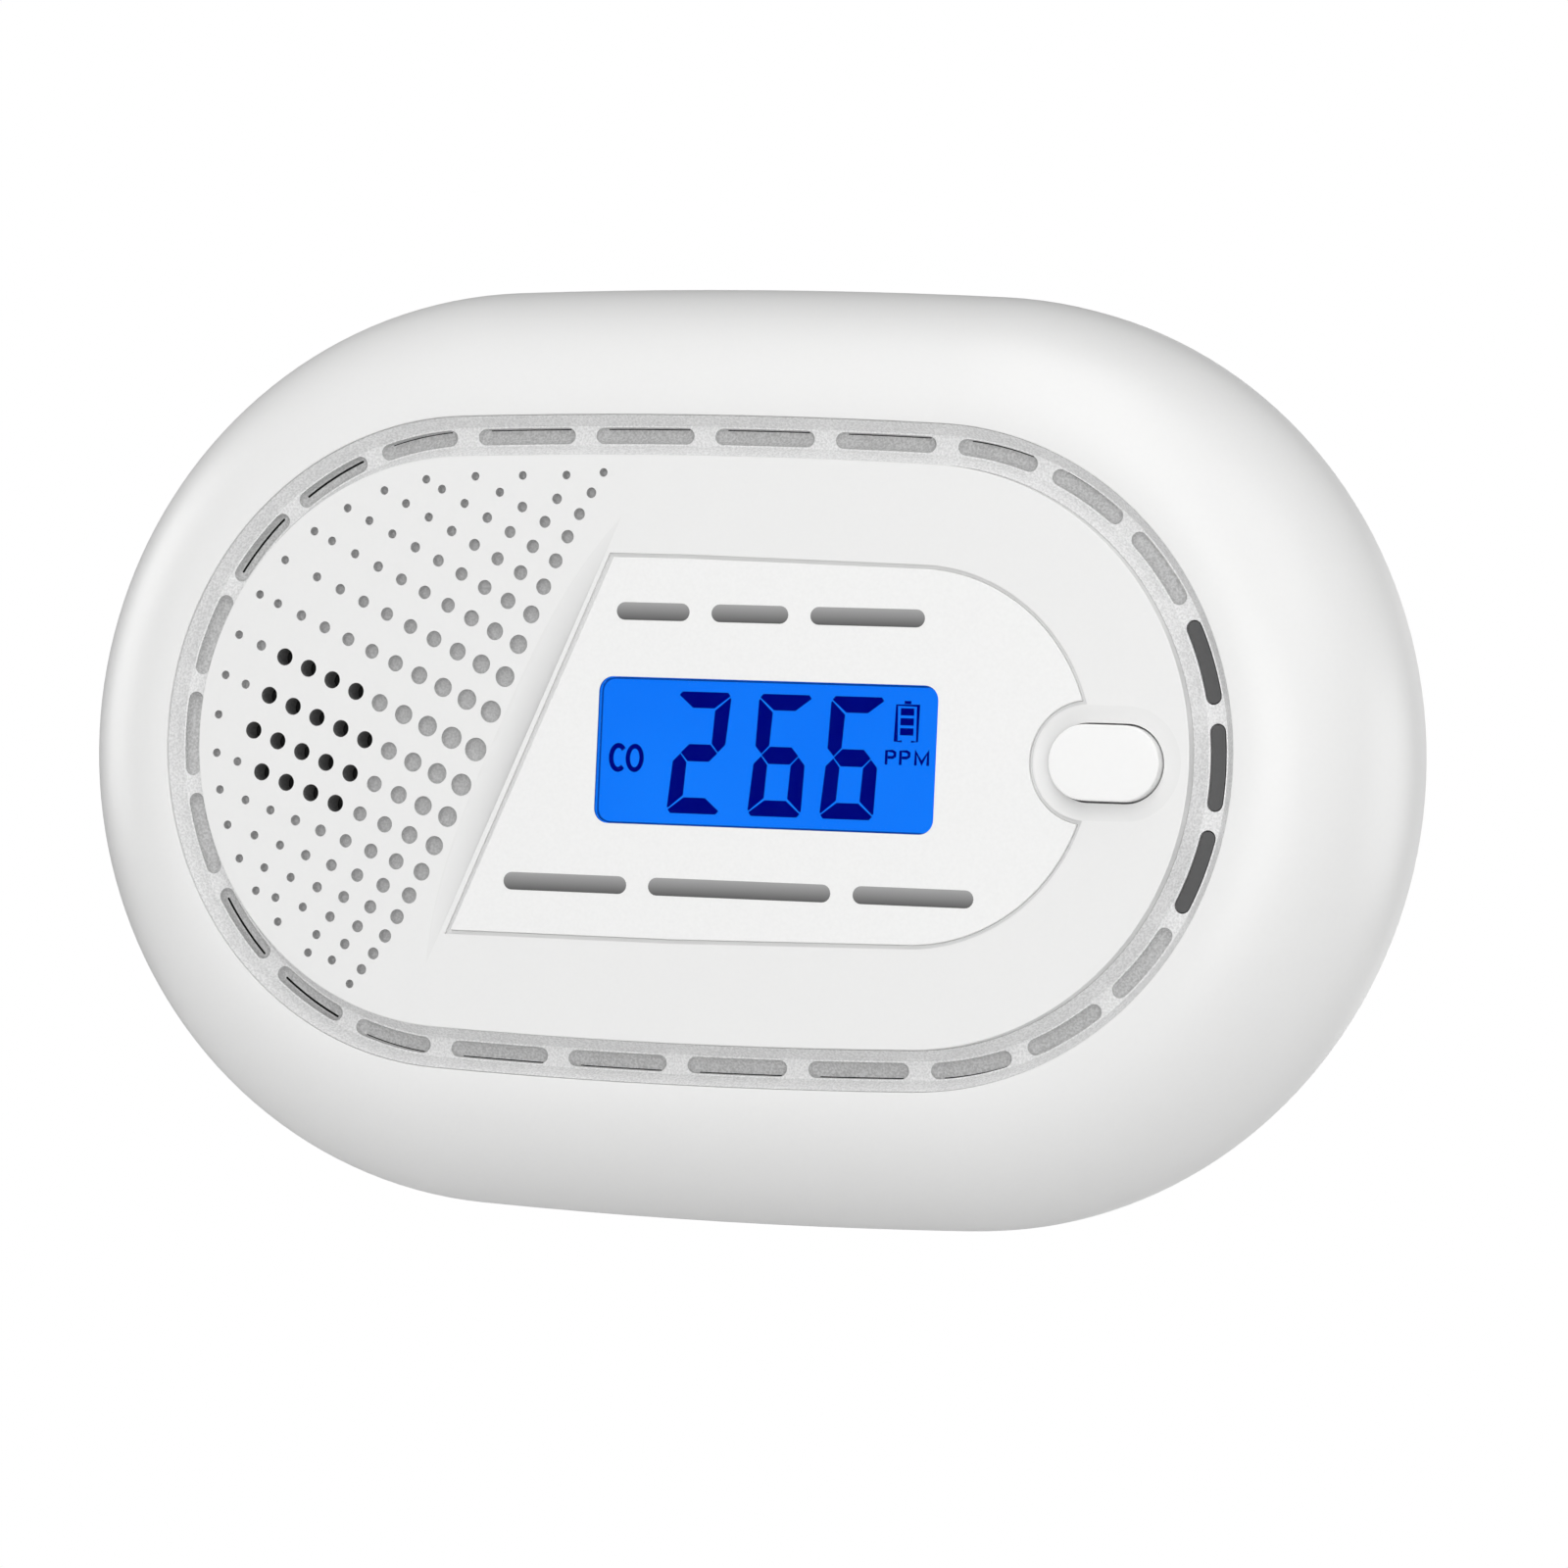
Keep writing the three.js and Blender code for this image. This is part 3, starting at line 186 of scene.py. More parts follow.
LONG_ARC_OFFSET = (END_CENTRE ** 2 - SIDE_CROWN ** 2) / (2 * SIDE_CROWN)
LONG_ARC_EXTRA = LONG_ARC_OFFSET + SIDE_CROWN
LONG_ARC_HALF = math.asin(END_CENTRE / LONG_ARC_EXTRA)


def place(x, z, depth):
    """A point of the face, in the row frame."""
    return Vector((x * MM, -depth * MM, z * MM + MIDDLE_Z))


# ------------------------------------------------------------------ outlines


def arc(centre, radius, start, stop, steps, last=False):
    """Points along an arc, in radians; the last point is left out unless asked for."""
    count = steps + 1 if last else steps
    return [
        (
            centre[0] + radius * math.cos(start + (stop - start) * i / steps),
            centre[1] + radius * math.sin(start + (stop - start) * i / steps),
        )
        for i in range(count)
    ]


def end_radius(inset):
    return HALF_HEIGHT - SIDE_CROWN - inset


def oval(inset):
    """The case's four-arc oval, moved inwards by inset."""
    radius = end_radius(inset)
    long_radius = radius + LONG_ARC_EXTRA
    half, flat = math.pi / 2 - LONG_ARC_HALF, LONG_ARC_HALF
    up, down = math.pi / 2, 1.5 * math.pi
    return (
        arc((END_CENTRE, 0), radius, -half, half, END_STEPS)
        + arc((0, -LONG_ARC_OFFSET), long_radius, up - flat, up + flat, SIDE_STEPS)
        + arc((-END_CENTRE, 0), radius, math.pi - half, math.pi + half, END_STEPS)
        + arc((0, LONG_ARC_OFFSET), long_radius, down - flat, down + flat, SIDE_STEPS)
    )


def circle(centre, radius, steps=24):
    return arc(centre, radius, 0, 2 * math.pi, steps)


def obround(centre, size, grow=0.0, steps=20):
    """A rectangle with half-round ends."""
    radius = size[1] / 2 + grow
    reach = (size[0] - size[1]) / 2
    right = (centre[0] + reach, centre[1])
    left = (centre[0] - reach, centre[1])
    quarter = math.pi / 2
    return (
        arc(right, radius, -quarter, quarter, steps, last=True)
        + arc(left, radius, quarter, 3 * quarter, steps, last=True)
    )


def rounded(centre, size, radius, grow=0.0):
    """A rounded rectangle."""
    reach_x = size[0] / 2 - radius
    reach_z = size[1] / 2 - radius
    points = []
    for quarter, (side_x, side_z) in enumerate(((1, -1), (1, 1), (-1, 1), (-1, -1))):
        corner = (centre[0] + side_x * reach_x, centre[1] + side_z * reach_z)
        start = (quarter - 1) * math.pi / 2
        points += arc(corner, radius + grow, start, start + math.pi / 2, CORNER_STEPS, last=True)
    return points


def window_outline(grow):
    return rounded(WINDOW_CENTRE, WINDOW_SIZE, WINDOW_RADIUS, grow)


def button_outline(grow):
    return obround(BUTTON_CENTRE, BUTTON_SIZE, grow)


def arc_slot(centre, radius, middle, length, width):
    """A round-ended slot of the given overall length, bent along an arc."""
    half = (length - width) / 2 / radius
    start, stop = middle - half, middle + half
    first, last = arc(centre, radius, start, stop, 1, last=True)
    return (
        arc(centre, radius + width / 2, start, stop, SLOT_STEPS)
        + arc(last, width / 2, stop, stop + math.pi, CORNER_STEPS)
        + arc(centre, radius - width / 2, stop, start, SLOT_STEPS)
        + arc(first, width / 2, start + math.pi, start + 2 * math.pi, CORNER_STEPS)
    )


def end_slot(side, index, inset, length, width):
    """A slot on an end arc; side is 1 on the right and -1 on the left."""
    middle = (0 if side > 0 else math.pi) + side * index * END_SLOT_PITCH
    return arc_slot((side * END_CENTRE, 0), end_radius(inset), middle, length, width)


def side_slot(side, x, inset, length, width):
    """A slot on the top (side 1) or bottom (side -1) arc."""
    radius = end_radius(inset) + LONG_ARC_EXTRA
    middle = side * (math.pi / 2 - math.asin(x / radius))
    return arc_slot((0, -side * LONG_ARC_OFFSET), radius, middle, length, width)


def panel_outline(grow):
    """The panel: slanted on the left, part of the oval on the right, scooped round the button."""
    inset = PANEL_INSET - grow
    radius = end_radius(inset)
    top = radius + SIDE_CROWN
    scoop_x = BUTTON_CENTRE[0] - (BUTTON_SIZE[0] - BUTTON_SIZE[1]) / 2
    scoop_radius = BUTTON_SIZE[1] / 2 + LOBE_MARGIN - grow
    reach = scoop_x - END_CENTRE
    along = (radius ** 2 - scoop_radius ** 2 + reach ** 2) / (2 * reach)
    cusp = math.acos(along / radius)
    scoop = math.pi - math.acos((reach - along) / scoop_radius)
    quarter = math.pi / 2
    points = [(PANEL_TOP_LEFT - grow, top), (PANEL_BOTTOM_LEFT - 1.5 * grow, -top), (0, -top)]
    points += arc((END_CENTRE, 0), radius, LONG_ARC_HALF - quarter, -cusp, 24)
    points += arc((scoop_x, 0), scoop_radius, 2 * math.pi - scoop, scoop, 32)
    points += arc((END_CENTRE, 0), radius, cusp, quarter - LONG_ARC_HALF, 24, last=True)
    points += [(0, top)]
    return points


# ------------------------------------------------------------------ mesh building


def anticlockwise(outline):
    """The outline, turned round if it runs clockwise."""
    area = sum(a[0] * b[1] - b[0] * a[1] for a, b in zip(outline, outline[1:] + outline[:1]))
    return outline if area > 0 else outline[::-1]


class Skin:
    """Loops of points (x, z, depth) and the faces between them, each with a look number."""

    def __init__(self):
        self.points = []
        self.faces = []
        self.looks = []

    def loop(self, outline, depth):
        start = len(self.points)
        depths = depth if isinstance(depth, list) else [depth] * len(outline)
        self.points += [(x, z, d) for (x, z), d in zip(outline, depths)]
        return list(range(start, len(self.points)))

    def face(self, indices, look=0):
        self.faces.append(tuple(indices))
        self.looks.append(look)

    def bridge(self, loops, look=0):
        for first, second in zip(loops, loops[1:]):
            for i in range(len(first)):
                j = (i + 1) % len(first)
                self.face((first[i], first[j], second[j], second[i]), look)

    def point_cap(self, loop, centre, depth, look=0):
        middle = self.loop([centre], depth)[0]
        for i in range(len(loop)):
            self.face((loop[i], loop[(i + 1) % len(loop)], middle), look)

    def sheet(self, outline, holes, depth, looks=None, look=0):
        """Fills between an outline and its holes. With looks, the inner outlines are filled too,
        each with its own look."""
        rings = [anticlockwise(ring) for ring in [outline, *holes]]
        flat = [Vector(point) for ring in rings for point in ring]
        starts = [sum(len(ring) for ring in rings[:i]) for i in range(len(rings))]
        faces = [list(range(s, s + len(ring))) for s, ring in zip(starts, rings)]
        found = delaunay_2d_cdt(flat, [], faces, 0, 1e-6)
        base = len(self.points)
        self.points += [(p.x, p.y, depth) for p in found[0]]
        for triangle, owners in zip(found[2], found[5]):
            if 0 not in owners:
                continue
            inner = [owner for owner in owners if owner]
            if not inner:
                self.face([base + i for i in triangle], look)
            elif looks:
                self.face([base + i for i in triangle], looks[max(inner) - 1])


def build(name, skin, looks, body, stands_for=()):
    """Turns a skin into a piece that rides on a body and stands for CAD nodes."""
    mesh = bpy.data.meshes.new(name)
    work = bmesh.new()
    corners = [work.verts.new(place(*point)) for point in skin.points]
    for indices, look in zip(skin.faces, skin.looks):
        work.faces.new([corners[i] for i in indices]).material_index = look
    bmesh.ops.remove_doubles(work, verts=work.verts, dist=WELD)
    bmesh.ops.dissolve_degenerate(work, edges=work.edges, dist=WELD / 4)
    bmesh.ops.recalc_face_normals(work, faces=work.faces)
    work.to_mesh(mesh)
    work.free()
    for look in looks:
        mesh.materials.append(look)
    mesh.shade_smooth()
    mesh.set_sharp_from_angle(angle=SHARP_ANGLE)
    piece = bpy.data.objects.new(name, mesh)
    bpy.context.scene.collection.objects.link(piece)
    piece.modifiers.new("even_shading", "WEIGHTED_NORMAL").keep_sharp = True
    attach(piece, body)
    if stands_for:
        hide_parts(*stands_for)


# ------------------------------------------------------------------ materials


def shader(name, colour, roughness, metallic=0.0, **sockets):
    """A material with its node tree and its shader; other sockets are named with _ for spaces."""
    material = bpy.data.materials.new(name)
    material.use_nodes = True
    bsdf = material.node_tree.nodes["Principled BSDF"]
    bsdf.inputs["Base Color"].default_value = (*colour, 1)
    bsdf.inputs["Roughness"].default_value = roughness
    bsdf.inputs["Metallic"].default_value = metallic
    for socket, value in sockets.items():
        bsdf.inputs[socket.replace("_", " ")].default_value = value
    return material, material.node_tree, bsdf


def noise(tree, scale, detail=3.0, stretch=(1, 1, 1)):
    """Noise in the object's own space; scale is in features per metre."""
    coordinates = tree.nodes.new("ShaderNodeTexCoord")
    mapping = tree.nodes.new("ShaderNodeMapping")
    mapping.inputs["Scale"].default_value = stretch
    texture = tree.nodes.new("ShaderNodeTexNoise")
    texture.inputs["Scale"].default_value = scale
    texture.inputs["Detail"].default_value = detail
    tree.links.new(coordinates.outputs["Object"], mapping.inputs["Vector"])
    tree.links.new(mapping.outputs["Vector"], texture.inputs["Vector"])
    return texture.outputs["Fac"]


def ramp(tree, source, low, high, start=0.3, stop=0.7):
    """Turns a number into a colour between low and high."""
    node = tree.nodes.new("ShaderNodeValToRGB")
    node.color_ramp.elements[0].position = start
    node.color_ramp.elements[0].color = (*low, 1)
    node.color_ramp.elements[1].position = stop
    node.color_ramp.elements[1].color = (*high, 1)
    tree.links.new(source, node.inputs["Fac"])
    return node.outputs["Color"]


def coordinate(tree, space, axis):
    """One coordinate of a point, in the given space of its object."""
    coordinates = tree.nodes.new("ShaderNodeTexCoord")
    split = tree.nodes.new("ShaderNodeSeparateXYZ")
    tree.links.new(coordinates.outputs[space], split.inputs["Vector"])
    return split.outputs[axis]


def spread(tree, source, bsdf, socket, low, high):
    """Drives a shader number between low and high by a texture."""
    node = tree.nodes.new("ShaderNodeMapRange")
    node.inputs["To Min"].default_value = low
    node.inputs["To Max"].default_value = high
    tree.links.new(source, node.inputs["Value"])
    tree.links.new(node.outputs["Result"], bsdf.inputs[socket])


def bump(tree, source, bsdf, height):
    """Fine relief from a texture; height is in metres."""
    node = tree.nodes.new("ShaderNodeBump")
    node.inputs["Distance"].default_value = height
    node.inputs["Strength"].default_value = 1.0
    tree.links.new(source, node.inputs["Height"])
    tree.links.new(node.outputs["Normal"], bsdf.inputs["Normal"])


def grained(name, colour, roughness, grain, height, swing=0.04, metallic=0.0):
    """Moulded plastic, rubber or metal: fine grain, slight colour drift and uneven gloss."""
    material, tree, bsdf = shader(name, colour, roughness, metallic)
    fine = noise(tree, grain)
    broad = noise(tree, 45.0, 2.0)
    darker = tuple(c * (1 - swing) for c in colour)
    lighter = tuple(min(1.0, c * (1 + swing / 2)) for c in colour)
    tree.links.new(ramp(tree, fine, darker, lighter), bsdf.inputs["Base Color"])
    spread(tree, broad, bsdf, "Roughness", roughness * 0.85, min(1.0, roughness * 1.15))
    bump(tree, fine, bsdf, height)
    return material


def sparked(name, dark, light):
    """A coarse spark-eroded finish between two greys."""
    material, tree, bsdf = shader(name, (light, light, light), 0.62)
    sparks = noise(tree, 5200.0, 2.0)
    colour = ramp(tree, sparks, (dark, dark, dark), (light, light, light), 0.36, 0.64)
    tree.links.new(colour, bsdf.inputs["Base Color"])
    spread(tree, noise(tree, 900.0), bsdf, "Roughness", 0.5, 0.75)
    bump(tree, sparks, bsdf, 1.5e-5)
    return material


def sunken_painted_shade():
    """The shell's plastic where it dips below the face, with painted shade: the deeper it lies, the
    darker its colour.
    """
    material, tree, bsdf = shader("sunken_painted_shade", (0.8, 0.8, 0.8), 0.4)
    depth = tree.nodes.new("ShaderNodeMapRange")
    depth.inputs["From Min"].default_value = -FACE_DEPTH * MM
    depth.inputs["From Max"].default_value = -(FACE_DEPTH - HOLLOW_SINK) * MM
    tree.links.new(coordinate(tree, "Object", "Y"), depth.inputs["Value"])
    # Painted shade: from the shell's tone at the face to a darker grey at the hollow's full sink
    shade = ramp(tree, depth.outputs["Result"], (0.8, 0.8, 0.795), (0.62, 0.62, 0.62), 0.0, 1.0)
    tree.links.new(shade, bsdf.inputs["Base Color"])
    bump(tree, noise(tree, 2600.0), bsdf, 3e-6)
    return material


def print_ink():
    """Grey print that darkens from the top of a line to its bottom."""
    material, tree, bsdf = shader("print_ink", (0.2, 0.2, 0.2), 0.5)
    height = coordinate(tree, "Generated", "Z")
    shade = ramp(tree, height, (0.085, 0.085, 0.085), (0.36, 0.36, 0.36), 0.0, 1.0)
    tree.links.new(shade, bsdf.inputs["Base Color"])
    spread(tree, noise(tree, 2500.0), bsdf, "Roughness", 0.4, 0.6)
    return material


def lit_display(name, colour, scale, low, high, strength):
    """A part of the display, lit from behind, with a faint unevenness; the dimmer glow for its edges
    is painted shade.
    """
    material, tree, bsdf = shader(name, colour, 0.5, Specular_IOR_Level=0.0)
    glow = ramp(tree, noise(tree, scale, 1.0), low, high)
    tree.links.new(glow, bsdf.inputs["Emission Color"])
    bsdf.inputs["Emission Strength"].default_value = strength
    return material


def clear_plastic():
    """Clear, with a coating that keeps reflections off the display."""
    material, tree, bsdf = shader(
        "clear_plastic", (1, 1, 1), 0.02, IOR=1.06, Transmission_Weight=1.0, Specular_IOR_Level=0.1)
    spread(tree, noise(tree, 300.0), bsdf, "Roughness", 0.0, 0.03)
    return material


def circuit_board():
    """Solder mask with faint copper runs below it."""
    material, tree, bsdf = shader("circuit_board", (0.02, 0.16, 0.06), 0.35)
    runs = noise(tree, 350.0, 1.0, (1, 1, 0.15))
    colour = ramp(tree, runs, (0.012, 0.11, 0.04), (0.03, 0.22, 0.09), 0.46, 0.54)
    tree.links.new(colour, bsdf.inputs["Base Color"])
    bump(tree, runs, bsdf, 3e-5)
    return material


LOOKS = {
    "shell": grained("shell_plastic", (0.83, 0.83, 0.825), 0.36, 2600.0, 3e-6, 0.006),
    "button": grained("button_plastic", (0.9, 0.9, 0.895), 0.4, 2600.0, 3e-6, 0.006),
    "panel": grained("panel_plastic", (0.87, 0.87, 0.865), 0.5, 3200.0, 8e-6, 0.02),
    "rear": grained("rear_plastic", (0.8, 0.8, 0.79), 0.5, 2400.0, 1.2e-5, 0.02),
    "bracket": grained("bracket_plastic", (0.76, 0.76, 0.745), 0.55, 2400.0, 1.4e-5, 0.02),
    # Painted shadow: black for the slits' walls and the caps that close them
    "cavity": grained("slit_painted_shadow", (0.004, 0.004, 0.004), 0.9, 900.0, 1e-5),
    "smoked": grained("smoked_plastic", (0.085, 0.085, 0.086), 0.42, 3000.0, 6e-6, 0.05),
    "black": grained("black_plastic", (0.012, 0.012, 0.013), 0.5, 2200.0, 1e-5, 0.1),
    "rubber": grained("grey_rubber", (0.045, 0.047, 0.05), 0.85, 1800.0, 2e-5, 0.1),
    "steel": grained("bright_steel", (0.55, 0.56, 0.58), 0.3, 1500.0, 4e-6, 0.05, metallic=1.0),
    "brass": grained("sounder_brass", (0.62, 0.44, 0.16), 0.32, 1500.0, 4e-6, 0.05, metallic=1.0),
    "guide": grained("light_guide", (0.75, 0.8, 0.88), 0.3, 1500.0, 4e-6, 0.03),
    "mesh": grained("dust_mesh", (0.01, 0.01, 0.01), 0.85, 4500.0, 4e-5, 0.4),
    "ring": sparked("ring_plastic", 0.66, 0.84),
    # Painted shade: the ring's slots in a darker grey than the ring
    "ring_slot": sparked("ring_slot_painted_shade", 0.46, 0.64),
    # Painted shade: the dimples' bowls in a darker grey than the shell
    "recess": sparked("recess_painted_shade", 0.42, 0.54),
    # Painted shade: the walls of the open holes through the shell in near black
    "bore": sparked("bore_painted_shade", 0.14, 0.2),
    # Painted shade in the hollow, the dish round the button and the panel's groove and recess
    "sunken": sunken_painted_shade(),
    "ink": print_ink(),
    "lcd_light": lit_display(
        "lcd_light", (0.0, 0.01, 0.03), 60.0, (0.005, 0.18, 0.97), (0.007, 0.2, 1.0), 0.95),
    "lcd_ink": lit_display(
        "lcd_ink", (0.0, 0.0, 0.01), 400.0, (0.0, 0.001, 0.19), (0.0, 0.002, 0.21), 0.9),
    # Painted shade: a dimmer blue glow for the display's border and sides and for the panel's opening
    # near the face
    "lcd_painted_shade": lit_display(
        "lcd_painted_shade", (0.0, 0.01, 0.03), 300.0, (0.002, 0.045, 0.3), (0.003, 0.06, 0.38), 0.95),
    "clear": clear_plastic(),
    "board": circuit_board(),
    "wrap": grained("cell_sleeve", (0.02, 0.06, 0.14), 0.3, 1200.0, 3e-6, 0.08),
    "copper": grained("cell_band", (0.45, 0.22, 0.08), 0.3, 1200.0, 3e-6, 0.08, metallic=0.6),
}


# ------------------------------------------------------------------ front cover


def cover_rings():
    """The cover's section as (inset, depth), from the face's edge round to the inner skin."""
    rings = [
        (RING_INNER_INSET + FACE_EDGE, FACE_DEPTH),
        (RING_INNER_INSET + FACE_EDGE * 0.3, FACE_DEPTH - FACE_EDGE * 0.3),
        (RING_INNER_INSET, FACE_DEPTH - FACE_EDGE),
        (RING_INNER_INSET, CHANNEL_FLOOR),
        (RING_OUTER_INSET, CHANNEL_FLOOR),
        (RING_OUTER_INSET, DOME_FRONT - 0.12),
        (RING_OUTER_INSET - 0.04, DOME_FRONT - 0.03),
    ]
    rise = DOME_FRONT - RIM_FRONT
    for i in range(DOME_STEPS + 1):
        turn = (math.pi / 2) * (1 - i / DOME_STEPS)
        rings.append((DOME_RUN * (1 - math.cos(turn)), RIM_FRONT + rise * math.sin(turn)))
    for i in range(RIM_STEPS + 1):
        turn = (math.pi / 2) * i / RIM_STEPS
        rings.append((RIM_EDGE * (1 - math.cos(turn)), RIM_BACK + RIM_EDGE * (1 - math.sin(turn))))
    rings.append((COVER_WALL, RIM_BACK))
    run, inner_rise = DOME_RUN - COVER_WALL, rise - COVER_WALL
    for i in range(INNER_STEPS * 2 // 3 + 1):
        turn = (math.pi / 2) * i / INNER_STEPS
        inset = COVER_WALL + run * (1 - math.cos(turn))
        rings.append((inset, RIM_FRONT + inner_rise * math.sin(turn)))
    rings.append((RING_OUTER_INSET - CHANNEL_WALL, CHANNEL_BACK))
    rings.append((RING_INNER_INSET + CHANNEL_WALL, CHANNEL_BACK))
    rings.append((RING_INNER_INSET + CHANNEL_WALL, FACE_DEPTH - FACE_WALL))
    return rings


def grille_point(row, reach):
    """A point along a row of the sound outlet, reach millimetres from its right-hand end."""
    count = abs(row)
    rises = GRILLE_RISE_UP if row < 0 else GRILLE_RISE_DOWN
    start_x, start_z = (
        first + a * count + b * count ** 2 + c * count ** 3
        for first, (a, b, c) in zip(GRILLE_START, rises)
    )
    angle = math.radians(GRILLE_LEAN + LEAN_PER_ROW[0] * row + LEAN_PER_ROW[1] * count)
    return (start_x - reach * math.cos(angle), start_z + reach * math.sin(angle))


def inset_of(point):
    """How far inside the outline a point near the left end lies."""
    x, z = point
    if x < -END_CENTRE:
        return end_radius(0) - math.hypot(x + END_CENTRE, z)
    return end_radius(0) + SIDE_CROWN - x ** 2 / (2 * LONG_ARC_EXTRA) - abs(z)


def dimple_radius(row, column):
    middle, per_row, per_column = DIMPLE_RADIUS
    return max(SMALLEST_DIMPLE, middle + per_row * abs(row) + per_column * column)


def row_border(row):
    """How far along a row the border of the sound outlet lies."""
    border = 0.0
    while inset_of(grille_point(row, border)) > GRILLE_EDGE_INSET:
        border += BORDER_STEP
    return border


def grille_holes():
    """(centre, radius, is open) for every hole; each row ends in a small one on the border."""
    holes = []
    for row in GRILLE_ROWS:
        pitch = UPPER_PITCH if row < 2 else LOWER_PITCH[0] + LOWER_PITCH[1] * row ** 2
        border = row_border(row)
        first, last = GRILLE_OPEN.get(row, (1, 0))
        column = 0
        while pitch * (column + BORDER_SHARE) < border:
            is_open = first <= column <= last
            radius = OPEN_RADIUS if is_open else dimple_radius(row, column)
            holes.append((grille_point(row, pitch * column), radius, is_open))
            column += 1
        holes.append((grille_point(row, border), LAST_RADIUS, False))
    return holes


# The cover's looks after the shell are painted shade: darker greys for the dimples and the open
# holes, and a colour that darkens with depth where the face sinks
RECESSED, SUNKEN, BORED = 1, 2, 3


def add_grille(skin, holes):
    """Bowls for the closed holes and straight walls for the open ones."""
    for centre, radius, is_open in holes:
        if is_open:
            # The open holes' walls take the bore look, painted shade
            skin.bridge([
                skin.loop(circle(centre, radius), FACE_DEPTH),
                skin.loop(circle(centre, radius), FACE_DEPTH - FACE_WALL),
            ], BORED)
            continue
        # The bowls take the recess look, painted shade
        loops = [
            skin.loop(circle(centre, radius * share), FACE_DEPTH - DIMPLE_SINK * sink)
            for share, sink in BOWL
        ]
        skin.bridge(loops, RECESSED)
        skin.point_cap(loops[-1], centre, FACE_DEPTH - DIMPLE_SINK, RECESSED)


def hollow_point(along, across):
    """A point of the crescent hollow beside the panel: along runs from its bottom to its top,
    across from its curved edge to its straight edge."""
    lean = Vector((PANEL_TOP_LEFT - PANEL_BOTTOM_LEFT, 2 * (end_radius(PANEL_INSET) + SIDE_CROWN)))
    up = lean.normalized()
    left = Vector((-up.y, up.x))
    bottom = Vector((PANEL_BOTTOM_LEFT, -lean.y / 2))
    start = bottom + left * (GROOVE_WIDTH + HOLLOW_STRIP) + up * HOLLOW_START
    line = start + up * along * (lean.length + HOLLOW_EXTRA)
    width = HOLLOW_WIDTH * (1 - abs(2 * along - 1) ** 3)
    point = line + left * width * (1 - across)
    return (point.x, point.y)


def hollow_sink(along, across):
    return HOLLOW_SINK * math.sin(math.pi * along) ** 1.3 * across


def add_hollow(skin):
    """The crescent hollow, as a grid; returns its outline."""
    columns, rows = HOLLOW_COLUMNS, HOLLOW_ROWS
    ends = [skin.loop([hollow_point(end, 1)], FACE_DEPTH)[0] for end in (0, 1)]
    grid = []
    for i in range(1, columns):
        along = i / columns
        points = [hollow_point(along, j / rows) for j in range(rows + 1)]
        depths = [FACE_DEPTH - hollow_sink(along, j / rows) for j in range(rows + 1)]
        grid.append(skin.loop(points + points[-1:], depths + [FACE_DEPTH]))
    for first, second in zip(grid, grid[1:]):
        for j in range(rows + 1):
            skin.face((first[j], second[j], second[j + 1], first[j + 1]), SUNKEN)
    for end, column in zip(ends, (grid[0], grid[-1])):
        for j in range(rows + 1):
            skin.face((end, column[j], column[j + 1]), SUNKEN)
    straight = [hollow_point(i / columns, 1) for i in range(columns + 1)]
    curved = [hollow_point(i / columns, 0) for i in range(columns - 1, 0, -1)]
    return straight + curved


def add_lobe(skin):
    """The shallow dish round the button, which fades out to the right."""
    loops = []
    for i in range(LOBE_RINGS + 1):
        share = i / LOBE_RINGS
        outline = button_outline(LOBE_REACH + (BUTTON_GAP - LOBE_REACH) * share)
        depths = []
        for x, z in outline:
            side = math.atan2(z, BUTTON_CENTRE[0] - x) / math.pi
            fade = 0.5 + 0.5 * math.cos(math.pi * min(1.0, abs(side + 0.12) * 1.15))
            depths.append(FACE_DEPTH - LOBE_SINK * fade * math.sin(share * math.pi / 2) ** 1.2)
        loops.append(skin.loop(outline, depths))
    wall = skin.loop(button_outline(BUTTON_GAP), FACE_DEPTH - FACE_WALL)
    skin.bridge(loops, SUNKEN)
    skin.bridge([loops[-1], wall])


def add_recess(skin):
    """The panel's recess with the shallow line round it, and the opening for the display."""
    floor = FACE_DEPTH - PANEL_THICKNESS - RECESS_GAP
    opening = window_outline(RECESS_GAP)
    skin.bridge([
        skin.loop(panel_outline(GROOVE_WIDTH), FACE_DEPTH),
        skin.loop(panel_outline(GROOVE_WIDTH), FACE_DEPTH - GROOVE_SINK),
        skin.loop(panel_outline(0.02), FACE_DEPTH - GROOVE_SINK),
        skin.loop(panel_outline(0.02), floor),
    ], SUNKEN)
    skin.sheet(panel_outline(0.02), [opening], floor)
    skin.bridge([skin.loop(opening, floor), skin.loop(opening, FACE_DEPTH - FACE_WALL)])


def front_cover():
    """The shell, with its face cut round the sound outlet, the hollow, the button and the panel."""
    skin = Skin()
    rings = cover_rings()
    skin.bridge([skin.loop(oval(inset), depth) for inset, depth in rings])
    holes = grille_holes()
    add_grille(skin, holes)
    hollow = add_hollow(skin)
    add_lobe(skin)
    add_recess(skin)
    rims = [circle(centre, radius) for centre, radius, _ in holes]
    rims += [hollow, button_outline(LOBE_REACH), panel_outline(GROOVE_WIDTH)]
    skin.sheet(oval(rings[0][0]), rims, FACE_DEPTH)
    through = [circle(centre, radius) for centre, radius, is_open in holes if is_open]
    through += [window_outline(RECESS_GAP), button_outline(BUTTON_GAP)]
    skin.sheet(oval(rings[-1][0]), through, FACE_DEPTH - FACE_WALL)
    # Painted shade: the recess, sunken and bore looks
    looks = [LOOKS["shell"], LOOKS["recess"], LOOKS["sunken"], LOOKS["bore"]]
    build("cover_shell", skin, looks, "housing", ("front_cover",))


# ------------------------------------------------------------------ ring and light pipes


# The slits' look: black, painted shadow
PAINTED_SHADOW = 2


